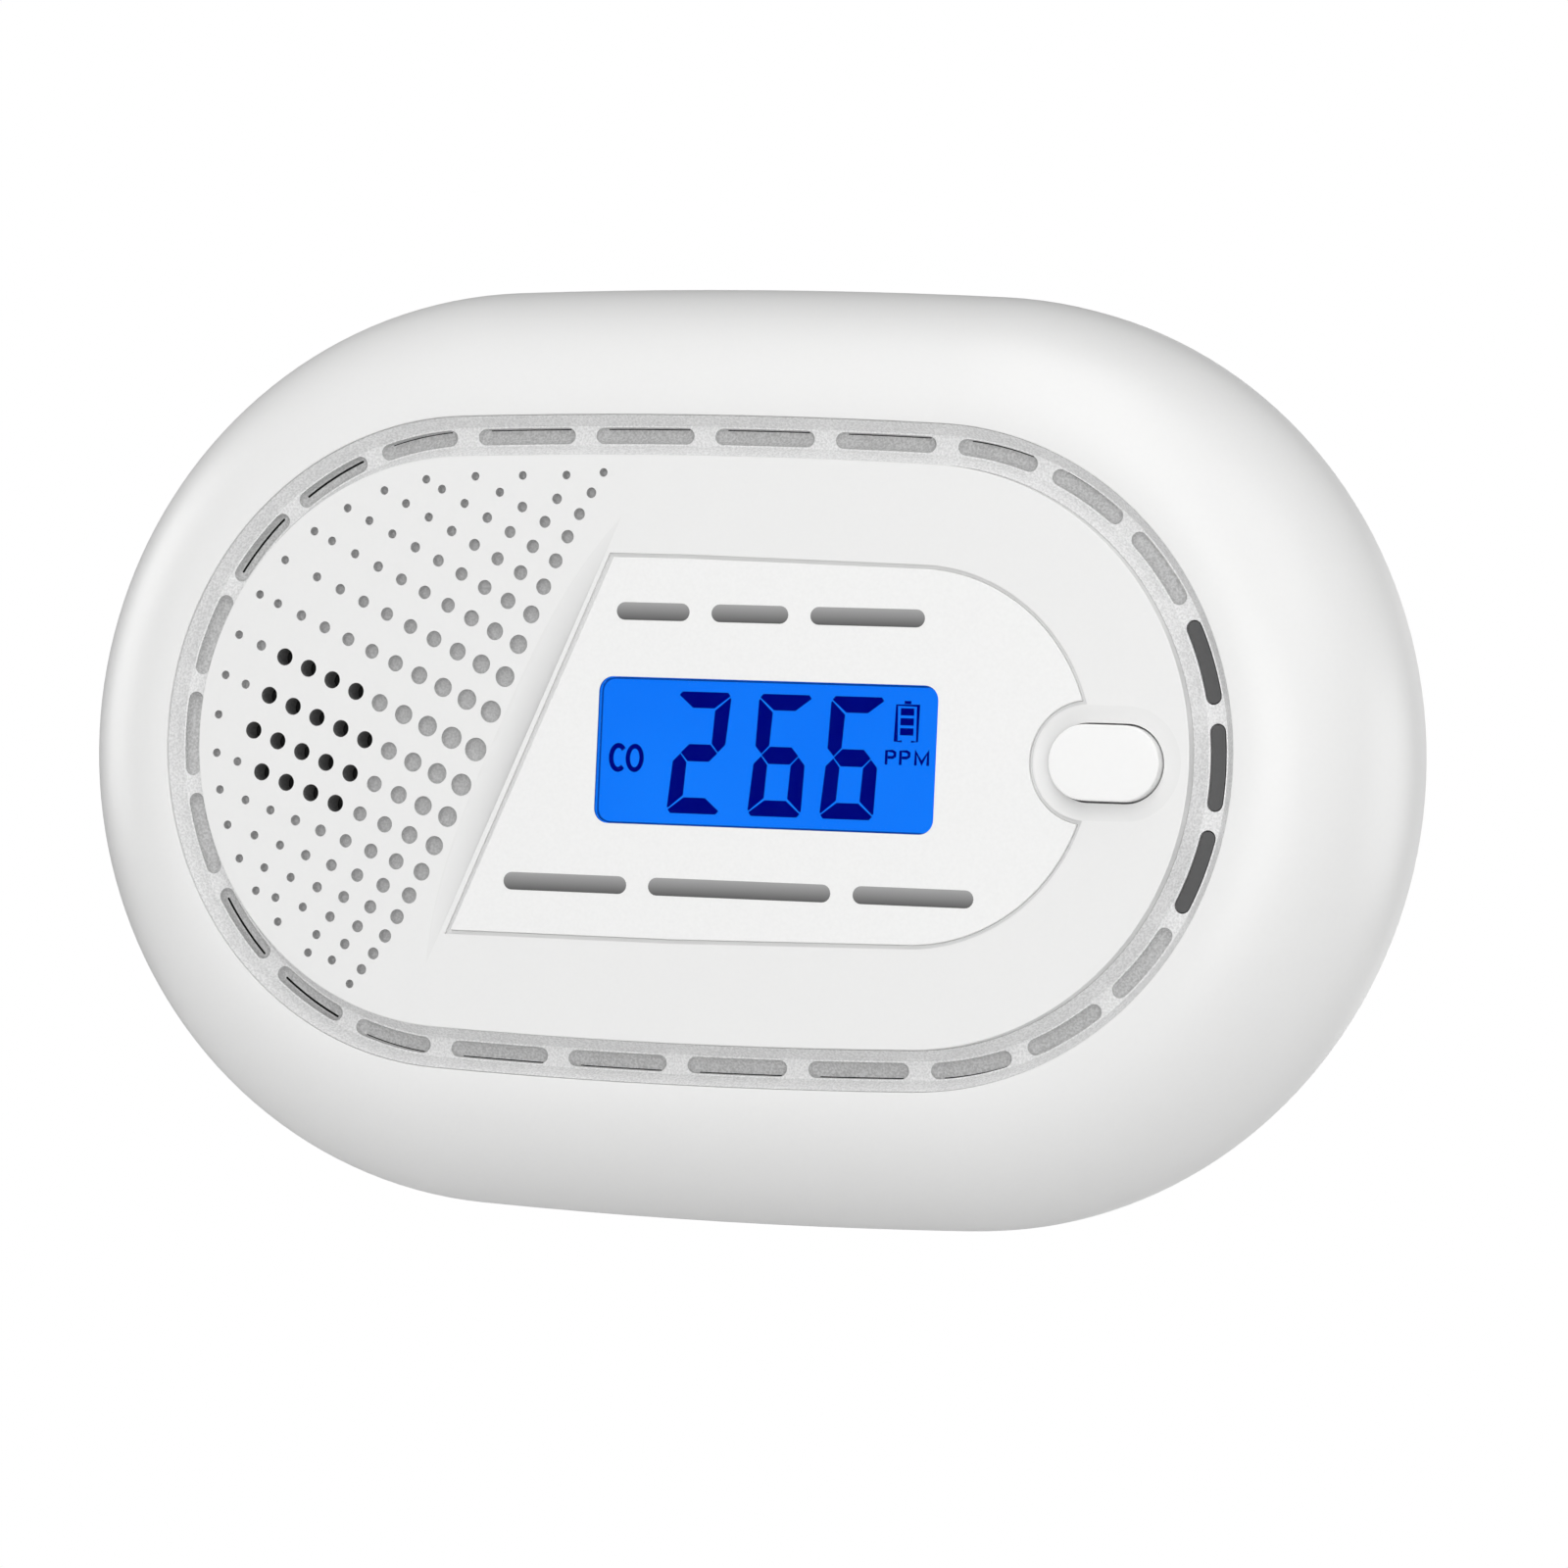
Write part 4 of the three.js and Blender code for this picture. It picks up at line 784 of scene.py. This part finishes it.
def draw_slot(shape, side, spot, length, cut, width=SLOT_WIDTH, shift=0.0):
    """A slot's outline, made smaller all round by cut and moved outwards by shift."""
    return shape(side, spot, RING_MIDDLE_INSET - shift, length - 2 * cut, width - 2 * cut)


def end_slot_kind(side, index):
    if side > 0:
        return "light" if index in LIGHT_SLOTS.values() else "narrow"
    if index in CLOSED_SLOTS:
        return "closed"
    return "wide" if index in WIDE_SLITS else "narrow"


def ring_slots():
    """Every slot as (kind, draw); draw(cut, width, shift) gives an outline in its place."""
    slots = []
    for side in (1, -1):
        for index in range(-4, 5):
            draw = partial(draw_slot, end_slot, side, index, END_SLOT_LENGTH)
            slots.append((end_slot_kind(side, index), draw))
        for x in SIDE_SLOT_X:
            slots.append(("narrow", partial(draw_slot, side_slot, side, x, SIDE_SLOT_LENGTH)))
    return slots


def slit_outline(draw, slit):
    """The narrow opening in a slot's floor, near the slot's outer side."""
    grown = slit["cut"] / 2
    return draw(grown, slit["width"] + 2 * grown, slit["shift"])


def add_slot(skin, draw, slit=None):
    """A blind slot with a rounded floor, which may lead to a slit."""
    rim = draw(0)
    floor = slit_outline(draw, slit) if slit else draw(SLOT_WIDTH / 2 - 0.01)
    loops = [skin.loop(rim, RING_FLOOR)]
    for turn in (0.35, 0.6, 0.85, 1.1, 1.35, math.pi / 2):
        share = 1 - math.cos(turn)
        outline = [
            (a[0] + (b[0] - a[0]) * share, a[1] + (b[1] - a[1]) * share) for a, b in zip(rim, floor)
        ]
        loops.append(skin.loop(outline, RING_FLOOR - SLOT_SINK * math.sin(turn)))
    skin.bridge(loops, RECESSED)
    if slit:
        # The slit ends in a closed black cap, a painted shadow where an opening would show
        end = skin.loop(floor, RING_BACK + 0.05)
        skin.bridge([loops[-1], end], PAINTED_SHADOW)
        skin.face(end, PAINTED_SHADOW)
    else:
        skin.face(loops[-1], RECESSED)


def vent_ring():
    """The slotted ring: a raised lip on either side of a sunken floor with the slots."""
    skin = Skin()
    outer = RING_OUTER_INSET + RING_GAP
    inner = RING_INNER_INSET - RING_GAP
    for edge, step in ((outer, RING_BEVEL), (inner, -RING_BEVEL)):
        section = [
            (edge + step, RING_FLOOR), (edge + step * 0.03, RING_TOP - 0.03),
            (edge, RING_TOP - 0.06), (edge, RING_BACK),
        ]
        skin.bridge([skin.loop(oval(inset), depth) for inset, depth in section])
    slots = ring_slots()
    rims = [draw(0) for _, draw in slots]
    skin.sheet(oval(outer + RING_BEVEL), rims + [oval(inner - RING_BEVEL)], RING_FLOOR)
    through = [draw(0) for kind, draw in slots if kind == "light"]
    skin.sheet(oval(outer), through + [oval(inner)], RING_BACK)
    slits = {"closed": None, "wide": WIDE_SLIT, "narrow": NARROW_SLIT}
    for kind, draw in slots:
        if kind == "light":
            skin.bridge([skin.loop(draw(0), RING_FLOOR), skin.loop(draw(0), RING_BACK)])
        else:
            add_slot(skin, draw, slits[kind])
    # The slots take a darker grey, painted shade, and the slits black, painted shadow
    looks = [LOOKS["ring"], LOOKS["ring_slot"], LOOKS["cavity"]]
    build("slotted_ring", skin, looks, "housing", ("vent_ring",))


def light_pipes():
    """The smoked windows in three of the ring's slots."""
    for position, index in LIGHT_SLOTS.items():
        node = f"light_pipe_{position}"
        low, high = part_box(node)
        back, front = -high.y / MM, -low.y / MM
        skin = Skin()
        section = [(0, back), (0, front - 0.05), (0.015, front - 0.015), (0.05, front)]
        draw = partial(draw_slot, end_slot, 1, index, END_SLOT_LENGTH)
        loops = [skin.loop(draw(PIPE_GAP + cut), depth) for cut, depth in section]
        skin.bridge(loops)
        skin.face(loops[0])
        skin.face(loops[-1])
        build(f"smoked_{node}", skin, [LOOKS["smoked"]], "housing", (node,))


# ------------------------------------------------------------------ panel, display, button


# Looks of the opening's wall: the display's glow as painted light, and its dimmer edge glow as
# painted shade
PAINTED_GLOW, SHADED = 1, 2


def display_panel():
    """The panel; the wall of its opening is painted with the display's blue glow, painted light,
    dimmer near the face.
    """
    skin = Skin()
    back = FACE_DEPTH - PANEL_THICKNESS
    skin.bridge([
        skin.loop(panel_outline(0), back),
        skin.loop(panel_outline(0), FACE_DEPTH - PANEL_EDGE),
        skin.loop(panel_outline(-PANEL_EDGE), FACE_DEPTH),
    ])
    shaded = skin.loop(window_outline(0), FACE_DEPTH - OPENING_SHADE)
    edge = skin.loop(window_outline(0), FACE_DEPTH - OPENING_EDGE)
    skin.bridge([skin.loop(window_outline(0), back), shaded], PAINTED_GLOW)
    skin.bridge([shaded, edge], SHADED)
    skin.bridge([edge, skin.loop(window_outline(OPENING_EDGE), FACE_DEPTH)])
    skin.sheet(panel_outline(0), [window_outline(0)], back)
    skin.sheet(panel_outline(-PANEL_EDGE), [window_outline(OPENING_EDGE)], FACE_DEPTH)
    looks = [LOOKS["panel"], LOOKS["lcd_light"], LOOKS["lcd_painted_shade"]]
    build("face_panel", skin, looks, "housing", ("display_panel",))


# Each printed line: its height on the face, and where its words start and stop
PRINT = {
    "print_upper": (11.5, ((-6.4, 0.3), (2.3, 9.3), (11.3, 21.6))),
    "print_lower": (-11.65, ((-15.8, -4.4), (-2.4, 14.2), (16.2, 27.0))),
}
PRINT_HEIGHT = 1.5


def print_bars():
    """Plain word-length bars in place of the two printed lines."""
    for name, (z, words) in PRINT.items():
        skin = Skin()
        for left, right in words:
            centre, size = ((left + right) / 2, z), (right - left, PRINT_HEIGHT)
            under = skin.loop(obround(centre, size, 0, 10), FACE_DEPTH + 0.002)
            over = skin.loop(obround(centre, size, -0.01, 10), FACE_DEPTH + 0.02)
            skin.bridge([under, over])
            skin.face(under)
            skin.face(over)
        build(name, skin, [LOOKS["ink"]], "housing")


# Each digit and its middle; its lean is sideways movement per millimetre of height
DIGITS = ((2, 1.5), (6, 8.88), (6, 15.42))
DIGIT_HALF_WIDTH = 2.42
DIGIT_TOP = 4.87
DIGIT_BOTTOM = -5.4
DIGIT_STROKE = 1.45
DIGIT_LEAN = 0.068
DIGIT_NOTCH = 0.09
LIT_BARS = {
    2: ("top", "upper_right", "middle", "lower_left", "bottom"),
    6: ("top", "upper_left", "middle", "lower_left", "lower_right", "bottom"),
}


def both_sides(points):
    """An outline from its right half, mirrored about x = 0."""
    return points + [(-x, z) for x, z in reversed(points)]


def digit_bars(digit, x):
    """Outlines of a digit's lit bars, out of seven, slanted to the right."""
    half, thick, notch = DIGIT_HALF_WIDTH, DIGIT_STROKE, DIGIT_NOTCH
    inner, top, bottom = half - thick, DIGIT_TOP, DIGIT_BOTTOM
    middle = (top + bottom) / 2
    bars = {
        "top": both_sides([
            (half - 0.35, top), (half - notch, top - 0.3), (inner, top - thick + notch)]),
        "middle": both_sides([
            (inner, middle + thick / 2), (half - 0.75, middle), (inner, middle - thick / 2)]),
        "bottom": both_sides([
            (half - 0.35, bottom), (half - notch, bottom + 0.3), (inner, bottom + thick - notch)]),
    }
    upright = [
        (half, top - 0.5), (half - 0.12, top - 0.45), (inner + notch, top - thick - notch),
        (inner + notch, middle + thick / 2 + notch), (half - 0.72, middle + notch),
        (half - 0.1, middle + 0.75),
    ]
    for side, name in ((-1, "left"), (1, "right")):
        bars[f"upper_{name}"] = [(side * a, b) for a, b in upright]
        bars[f"lower_{name}"] = [(side * a, 2 * middle - b) for a, b in upright]
    return [[(x + a + DIGIT_LEAN * b, b) for a, b in bars[name]] for name in LIT_BARS[digit]]


def box_outline(left, right, bottom, top):
    return [(left, bottom), (right, bottom), (right, top), (left, top)]


def stroke(points, width):
    """A constant-width outline round an open run of points."""
    half = width / 2
    left, right = [], []
    for i, point in enumerate(points):
        before = Vector(points[max(0, i - 1)])
        after = Vector(points[min(len(points) - 1, i + 1)])
        along = (after - before).normalized()
        across = Vector((-along.y, along.x))
        bend = 1.0
        if 0 < i < len(points) - 1:
            first = (Vector(point) - before).normalized()
            bend = 1 / max(0.5, first.dot(along))
        left.append(tuple(Vector(point) + across * half * bend))
        right.append(tuple(Vector(point) - across * half * bend))
    return left + right[::-1]


def ellipse(centre, reach, rise, start=0, stop=360, steps=24):
    """Points round an ellipse between two angles in degrees."""
    angles = [math.radians(start + (stop - start) * i / steps) for i in range(steps)]
    return [(centre[0] + reach * math.cos(a), centre[1] + rise * math.sin(a)) for a in angles]


GAS_MARK = {"open": (-5.92, -0.87), "round": (-4.4, -0.87)}
UNIT_STROKE = 0.24
BATTERY_X = 20.18


def unit_marks():
    """The display's gas and unit marks, from plain strokes."""
    marks = [
        stroke(ellipse(GAS_MARK["open"], 0.66, 1.02, 42, 330, 16), 0.42),
        ellipse(GAS_MARK["round"], 0.84, 1.2),
    ]
    for x in (18.45, 19.72):
        bow = [(x + 0.55, 0.43), (x + 0.76, 0.3), (x + 0.76, 0.02), (x + 0.55, -0.1)]
        marks.append(stroke([(x, -0.7), (x, 0.43), *bow, (x + 0.13, -0.1)], UNIT_STROKE))
    peaks = [(21.08, -0.7), (21.08, 0.42), (21.63, -0.5), (22.18, 0.42), (22.18, -0.7)]
    marks.append(stroke(peaks, UNIT_STROKE))
    return marks


def battery_marks():
    """A battery outline, open at the foot, with a cap and three bars."""
    run = both_sides([(0.42, 1.27), (0.96, 1.27), (0.96, 4.27)])[::-1]
    marks = [
        box_outline(BATTERY_X - 0.3, BATTERY_X + 0.3, 4.38, 4.64),
        stroke([(BATTERY_X + x, z) for x, z in run], 0.18),
    ]
    for bottom in (1.77, 2.6, 3.43):
        marks.append(box_outline(BATTERY_X - 0.6, BATTERY_X + 0.6, bottom, bottom + 0.6))
    return marks


# The display's looks: lit field, marks, and a border and sides that glow dimmer as painted shade
LIT, INKED, EDGE = 0, 1, 2


def lcd_screen():
    """The display cell; its lit field and its marks lie in one plane."""
    low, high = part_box("lcd_cell")
    back = -high.y / MM
    skin = Skin()
    outline = window_outline(-LCD_GAP)
    ledge = rounded(WINDOW_CENTRE, (WINDOW_SIZE[0] + 1, WINDOW_SIZE[1] + 1), WINDOW_RADIUS)
    step = FACE_DEPTH - PANEL_THICKNESS - 0.15
    section = [(outline, LCD_FRONT), (outline, step), (ledge, step), (ledge, back)]
    loops = [skin.loop(points, depth) for points, depth in section]
    skin.bridge(loops, EDGE)
    skin.face(loops[-1])
    marks = []
    for digit, x in DIGITS:
        marks += digit_bars(digit, x)
    marks += unit_marks() + battery_marks()
    counter = ellipse(GAS_MARK["round"], 0.43, 0.79)
    field = window_outline(-LCD_GAP - LCD_EDGE)
    inner_looks = [LIT] + [INKED] * len(marks) + [LIT]
    skin.sheet(outline, [field] + marks + [counter], LCD_FRONT, inner_looks, EDGE)
    looks = [LOOKS["lcd_light"], LOOKS["lcd_ink"], LOOKS["lcd_painted_shade"]]
    build("lcd_screen", skin, looks, "housing", ("lcd_cell",))


def clear_window():
    """The clear plate over the display."""
    skin = Skin()
    section = [(-0.1, WINDOW_BACK), (-0.1, WINDOW_FRONT - 0.05), (-0.15, WINDOW_FRONT)]
    loops = [skin.loop(window_outline(grow), depth) for grow, depth in section]
    skin.bridge(loops)
    skin.face(loops[0])
    skin.face(loops[-1])
    looks = [LOOKS["clear"]]
    build("clear_window", skin, looks, "housing", ("display_window",))


def test_button():
    """The button, with rounded edges and a slight crown."""
    skin = Skin()
    under = FACE_DEPTH - FACE_WALL - 0.3
    edge_top = BUTTON_TOP - BUTTON_CROWN
    section = [(0.8, under - 0.8), (0.8, under), (0, under), (0, edge_top - BUTTON_EDGE)]
    for i in range(1, 7):
        turn = (math.pi / 2) * i / 6
        grow = BUTTON_EDGE * (math.cos(turn) - 1)
        section.append((grow, edge_top - BUTTON_EDGE * (1 - math.sin(turn))))
    for share in (0.35, 0.6, 0.8, 0.995):
        depth = BUTTON_TOP - BUTTON_CROWN * (1 - share ** 0.5)
        section.append((-BUTTON_SIZE[1] / 2 * share, depth))
    loops = [skin.loop(button_outline(grow), depth) for grow, depth in section]
    skin.bridge(loops)
    skin.face(loops[0])
    skin.face(loops[-1])
    build("button_cap", skin, [LOOKS["button"]], "button", ("test_button",))


# ------------------------------------------------------------------ battery cells


SLEEVE, BAND, METAL = 0, 1, 2
CELL_RADIUS = 7.2
CELL_CORNER = ((0, 6.6), (0.15, 7.05), (0.5, CELL_RADIUS))
CELL_CENTRE_RADIUS = 0.4
CELL_BODY = 49.5
CELL_LENGTH = 50.5
BAND_START = 37
NUB_RADIUS = 2.7
NUB_EDGE = 0.1
CELL_SIDES = 64


def cell_section():
    """Along a cell from its flat end: (distance, radius, look of the stretch that follows)."""
    section = [(0, CELL_CENTRE_RADIUS, METAL)]
    section += [(run, radius, METAL) for run, radius in CELL_CORNER[:-1]]
    section += [(CELL_CORNER[-1][0], CELL_RADIUS, SLEEVE), (BAND_START, CELL_RADIUS, BAND)]
    section += [(CELL_BODY - run, radius, METAL) for run, radius in reversed(CELL_CORNER)]
    section += [(CELL_BODY, NUB_RADIUS, METAL), (CELL_LENGTH - NUB_EDGE, NUB_RADIUS, METAL)]
    section += [(CELL_LENGTH, NUB_RADIUS - NUB_EDGE, METAL), (CELL_LENGTH, CELL_CENTRE_RADIUS, METAL)]
    return section


def battery_cell(node, direction):
    """A cell turned about its axis; direction is 1 when its nub points to the right."""
    low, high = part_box(node)
    start = (low.x if direction > 0 else high.x) / MM
    middle_z = ((low.z + high.z) / 2 - MIDDLE_Z) / MM
    middle_depth = -(low.y + high.y) / 2 / MM
    skin = Skin()
    section = cell_section()
    loops = []
    for along, radius, _ in section:
        ring = circle((middle_z, middle_depth), radius, CELL_SIDES)
        x = start + direction * along
        loops.append(skin.loop([(x, z) for z, _ in ring], [depth for _, depth in ring]))
    for (_, _, look), first, second in zip(section, loops, loops[1:]):
        skin.bridge([first, second], look)
    skin.face(loops[0], METAL)
    skin.face(loops[-1], METAL)
    looks = [LOOKS["wrap"], LOOKS["copper"], LOOKS["steel"]]
    build(f"round_{node}", skin, looks, "housing", (node,))


# ------------------------------------------------------------------ CAD nodes that stay

KEPT = {
    "rear": ("rear_housing", "battery_door", "sensor_body"),
    "bracket": ("wall_bracket",),
    "rubber": ("rear_pad_left", "rear_pad_right", "zebra_connector", "sensor_seal", "horn_gasket"),
    "guide": ("backlight_panel", "indicator_led_upper", "indicator_led_middle",
              "indicator_led_lower"),
    "black": ("lcd_holder", "switch_body", "switch_plunger", "controller_chip", "boost_coil",
              "supply_capacitor", "horn_housing"),
    "steel": ("crystal_can", "sensor_cap", "spring_upper", "spring_lower", "contact_bridge",
              "contact_positive", "contact_negative", "cover_screw_1", "cover_screw_2",
              "cover_screw_3", "cover_screw_4", "board_screw_1", "board_screw_2", "board_screw_3"),
    "brass": ("piezo_disc",),
    "mesh": ("dust_mesh",),
    "board": ("main_board",),
}


EDGE_WIDTH = 0.12


def smoothing_group():
    """Smooth shading across every edge flatter than BEVEL_ANGLE."""
    group = bpy.data.node_groups.new("smooth_by_angle", "GeometryNodeTree")
    group.interface.new_socket("Geometry", in_out="INPUT", socket_type="NodeSocketGeometry")
    group.interface.new_socket("Geometry", in_out="OUTPUT", socket_type="NodeSocketGeometry")
    enter = group.nodes.new("NodeGroupInput")
    leave = group.nodes.new("NodeGroupOutput")
    faces = group.nodes.new("GeometryNodeSetShadeSmooth")
    edges = group.nodes.new("GeometryNodeSetShadeSmooth")
    edges.domain = "EDGE"
    edges.inputs["Shade Smooth"].default_value = False
    angle = group.nodes.new("GeometryNodeInputMeshEdgeAngle")
    steep = group.nodes.new("FunctionNodeCompare")
    steep.data_type = "FLOAT"
    steep.operation = "GREATER_THAN"
    steep.inputs[1].default_value = BEVEL_ANGLE
    group.links.new(angle.outputs["Unsigned Angle"], steep.inputs[0])
    group.links.new(steep.outputs["Result"], edges.inputs["Selection"])
    group.links.new(enter.outputs[0], faces.inputs["Geometry"])
    group.links.new(faces.outputs[0], edges.inputs["Geometry"])
    group.links.new(edges.outputs[0], leave.inputs[0])
    return group


def dress_kept_nodes():
    """Gives the CAD nodes that stay their materials, smooth walls and softened edges."""
    group = smoothing_group()
    for look, names in KEPT.items():
        for name in names:
            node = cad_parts[name]
            node.data.materials.clear()
            node.data.materials.append(LOOKS[look])
            weld = node.modifiers.new("weld", "WELD")
            weld.merge_threshold = WELD
            node.modifiers.new("smooth_walls", "NODES").node_group = group
            edges = node.modifiers.new("soft_edges", "BEVEL")
            edges.width = EDGE_WIDTH * MM
            edges.segments = 2
            edges.limit_method = "ANGLE"
            edges.angle_limit = BEVEL_ANGLE
            edges.harden_normals = True


# ------------------------------------------------------------------ camera, stage and light


# The photo's viewpoint: angles in degrees, its place in metres from the middle of the case
# at the wall, and the lens in millimetres
CAMERA_TURN = 22.673
CAMERA_RISE = -1.207
CAMERA_ROLL = 2.534
CAMERA_PLACE = (0.25225, -0.60893, -0.0159)
CAMERA_LENS = 172.95


def direction_to(azimuth, elevation):
    """Towards a place round the object, in degrees; 0, 0 is straight in front of the face."""
    turn, rise = math.radians(azimuth), math.radians(elevation)
    level = math.cos(rise)
    return Vector((math.sin(turn) * level, -math.cos(turn) * level, math.sin(rise)))


def add_camera():
    """Looks at the face from the right and slightly below, rolled a little."""
    turn, roll = math.radians(CAMERA_TURN), math.radians(CAMERA_ROLL)
    back = direction_to(CAMERA_TURN, CAMERA_RISE)
    right = Vector((math.cos(turn), math.sin(turn), 0))
    up = back.cross(right)
    tilted_right = right * math.cos(roll) + up * math.sin(roll)
    tilted_up = up * math.cos(roll) - right * math.sin(roll)
    data = bpy.data.cameras.new("camera")
    data.sensor_width = 36
    data.lens = CAMERA_LENS
    data.clip_end = 20
    camera = bpy.data.objects.new("camera", data)
    matrix = Matrix((tilted_right, tilted_up, back)).transposed().to_4x4()
    matrix.translation = Vector((0, 0, MIDDLE_Z)) + Vector(CAMERA_PLACE)
    camera.matrix_world = matrix
    bpy.context.scene.collection.objects.link(camera)
    bpy.context.scene.camera = camera


FLOOR_REACH = 0.4
FLOOR_DROP = 0.09


def add_floor():
    """A plain pale square below the alarm, which hangs above it."""
    mesh = bpy.data.meshes.new("floor")
    level = cad_box[0].z - FLOOR_DROP
    corners = box_outline(-FLOOR_REACH, FLOOR_REACH, -FLOOR_REACH, FLOOR_REACH)
    mesh.from_pydata([(x, y, level) for x, y in corners], [], [(0, 1, 2, 3)])
    mesh.materials.append(grained("floor_paper", (0.85, 0.85, 0.85), 0.9, 300.0, 1e-5, 0.01))
    floor = bpy.data.objects.new("floor", mesh)
    bpy.context.scene.collection.objects.link(floor)


# Soft lights round the object: azimuth from straight in front toward the right and
# elevation, in degrees, and power in watts
LIGHTS = {
    "front": (22, -1, 3.6),
    "front_left": (-30, 0, 0.8),
    "front_top": (0, 35, 2.4),
    "top": (0, 70, 2.7),
    "right": (60, 0, 0.7),
    "right_top": (60, 40, 1.5),
    "left": (-90, 10, 3.0),
    "rear_right": (120, 0, 3.0),
    "rear": (180, 0, 2.0),
}
LIGHT_DISTANCE = 1.0
LIGHT_SIZE = 0.6
WORLD_FILL = 0.11


def add_light(name, azimuth, elevation, power):
    """A square light that faces the middle of the face."""
    away = direction_to(azimuth, elevation)
    data = bpy.data.lights.new(name, "AREA")
    data.energy = power
    data.size = LIGHT_SIZE
    light = bpy.data.objects.new(name, data)
    light.location = Vector((0, 0, MIDDLE_Z)) + away * LIGHT_DISTANCE
    light.rotation_euler = (-away).to_track_quat("-Z", "Y").to_euler()
    bpy.context.scene.collection.objects.link(light)


def add_world():
    """White behind the object; a softer grey lights it."""
    world = bpy.data.worlds.new("studio")
    world.use_nodes = True
    tree = world.node_tree
    tree.nodes.clear()
    output = tree.nodes.new("ShaderNodeOutputWorld")
    path = tree.nodes.new("ShaderNodeLightPath")
    mix = tree.nodes.new("ShaderNodeMixShader")
    seen = tree.nodes.new("ShaderNodeBackground")
    fill = tree.nodes.new("ShaderNodeBackground")
    seen.inputs["Color"].default_value = (1, 1, 1, 1)
    fill.inputs["Color"].default_value = (1, 1, 1, 1)
    fill.inputs["Strength"].default_value = WORLD_FILL
    tree.links.new(path.outputs["Is Camera Ray"], mix.inputs[0])
    tree.links.new(fill.outputs[0], mix.inputs[1])
    tree.links.new(seen.outputs[0], mix.inputs[2])
    tree.links.new(mix.outputs[0], output.inputs["Surface"])
    bpy.context.scene.world = world


def add_studio():
    """The world and every light."""
    add_world()
    for name, (azimuth, elevation, power) in LIGHTS.items():
        add_light(name, azimuth, elevation, power)


bpy.context.scene.view_settings.view_transform = "Standard"
add_camera()
add_floor()
add_studio()
front_cover()
vent_ring()
light_pipes()
display_panel()
print_bars()
lcd_screen()
clear_window()
test_button()
battery_cell("battery_cell_upper", 1)
battery_cell("battery_cell_lower", -1)
dress_kept_nodes()
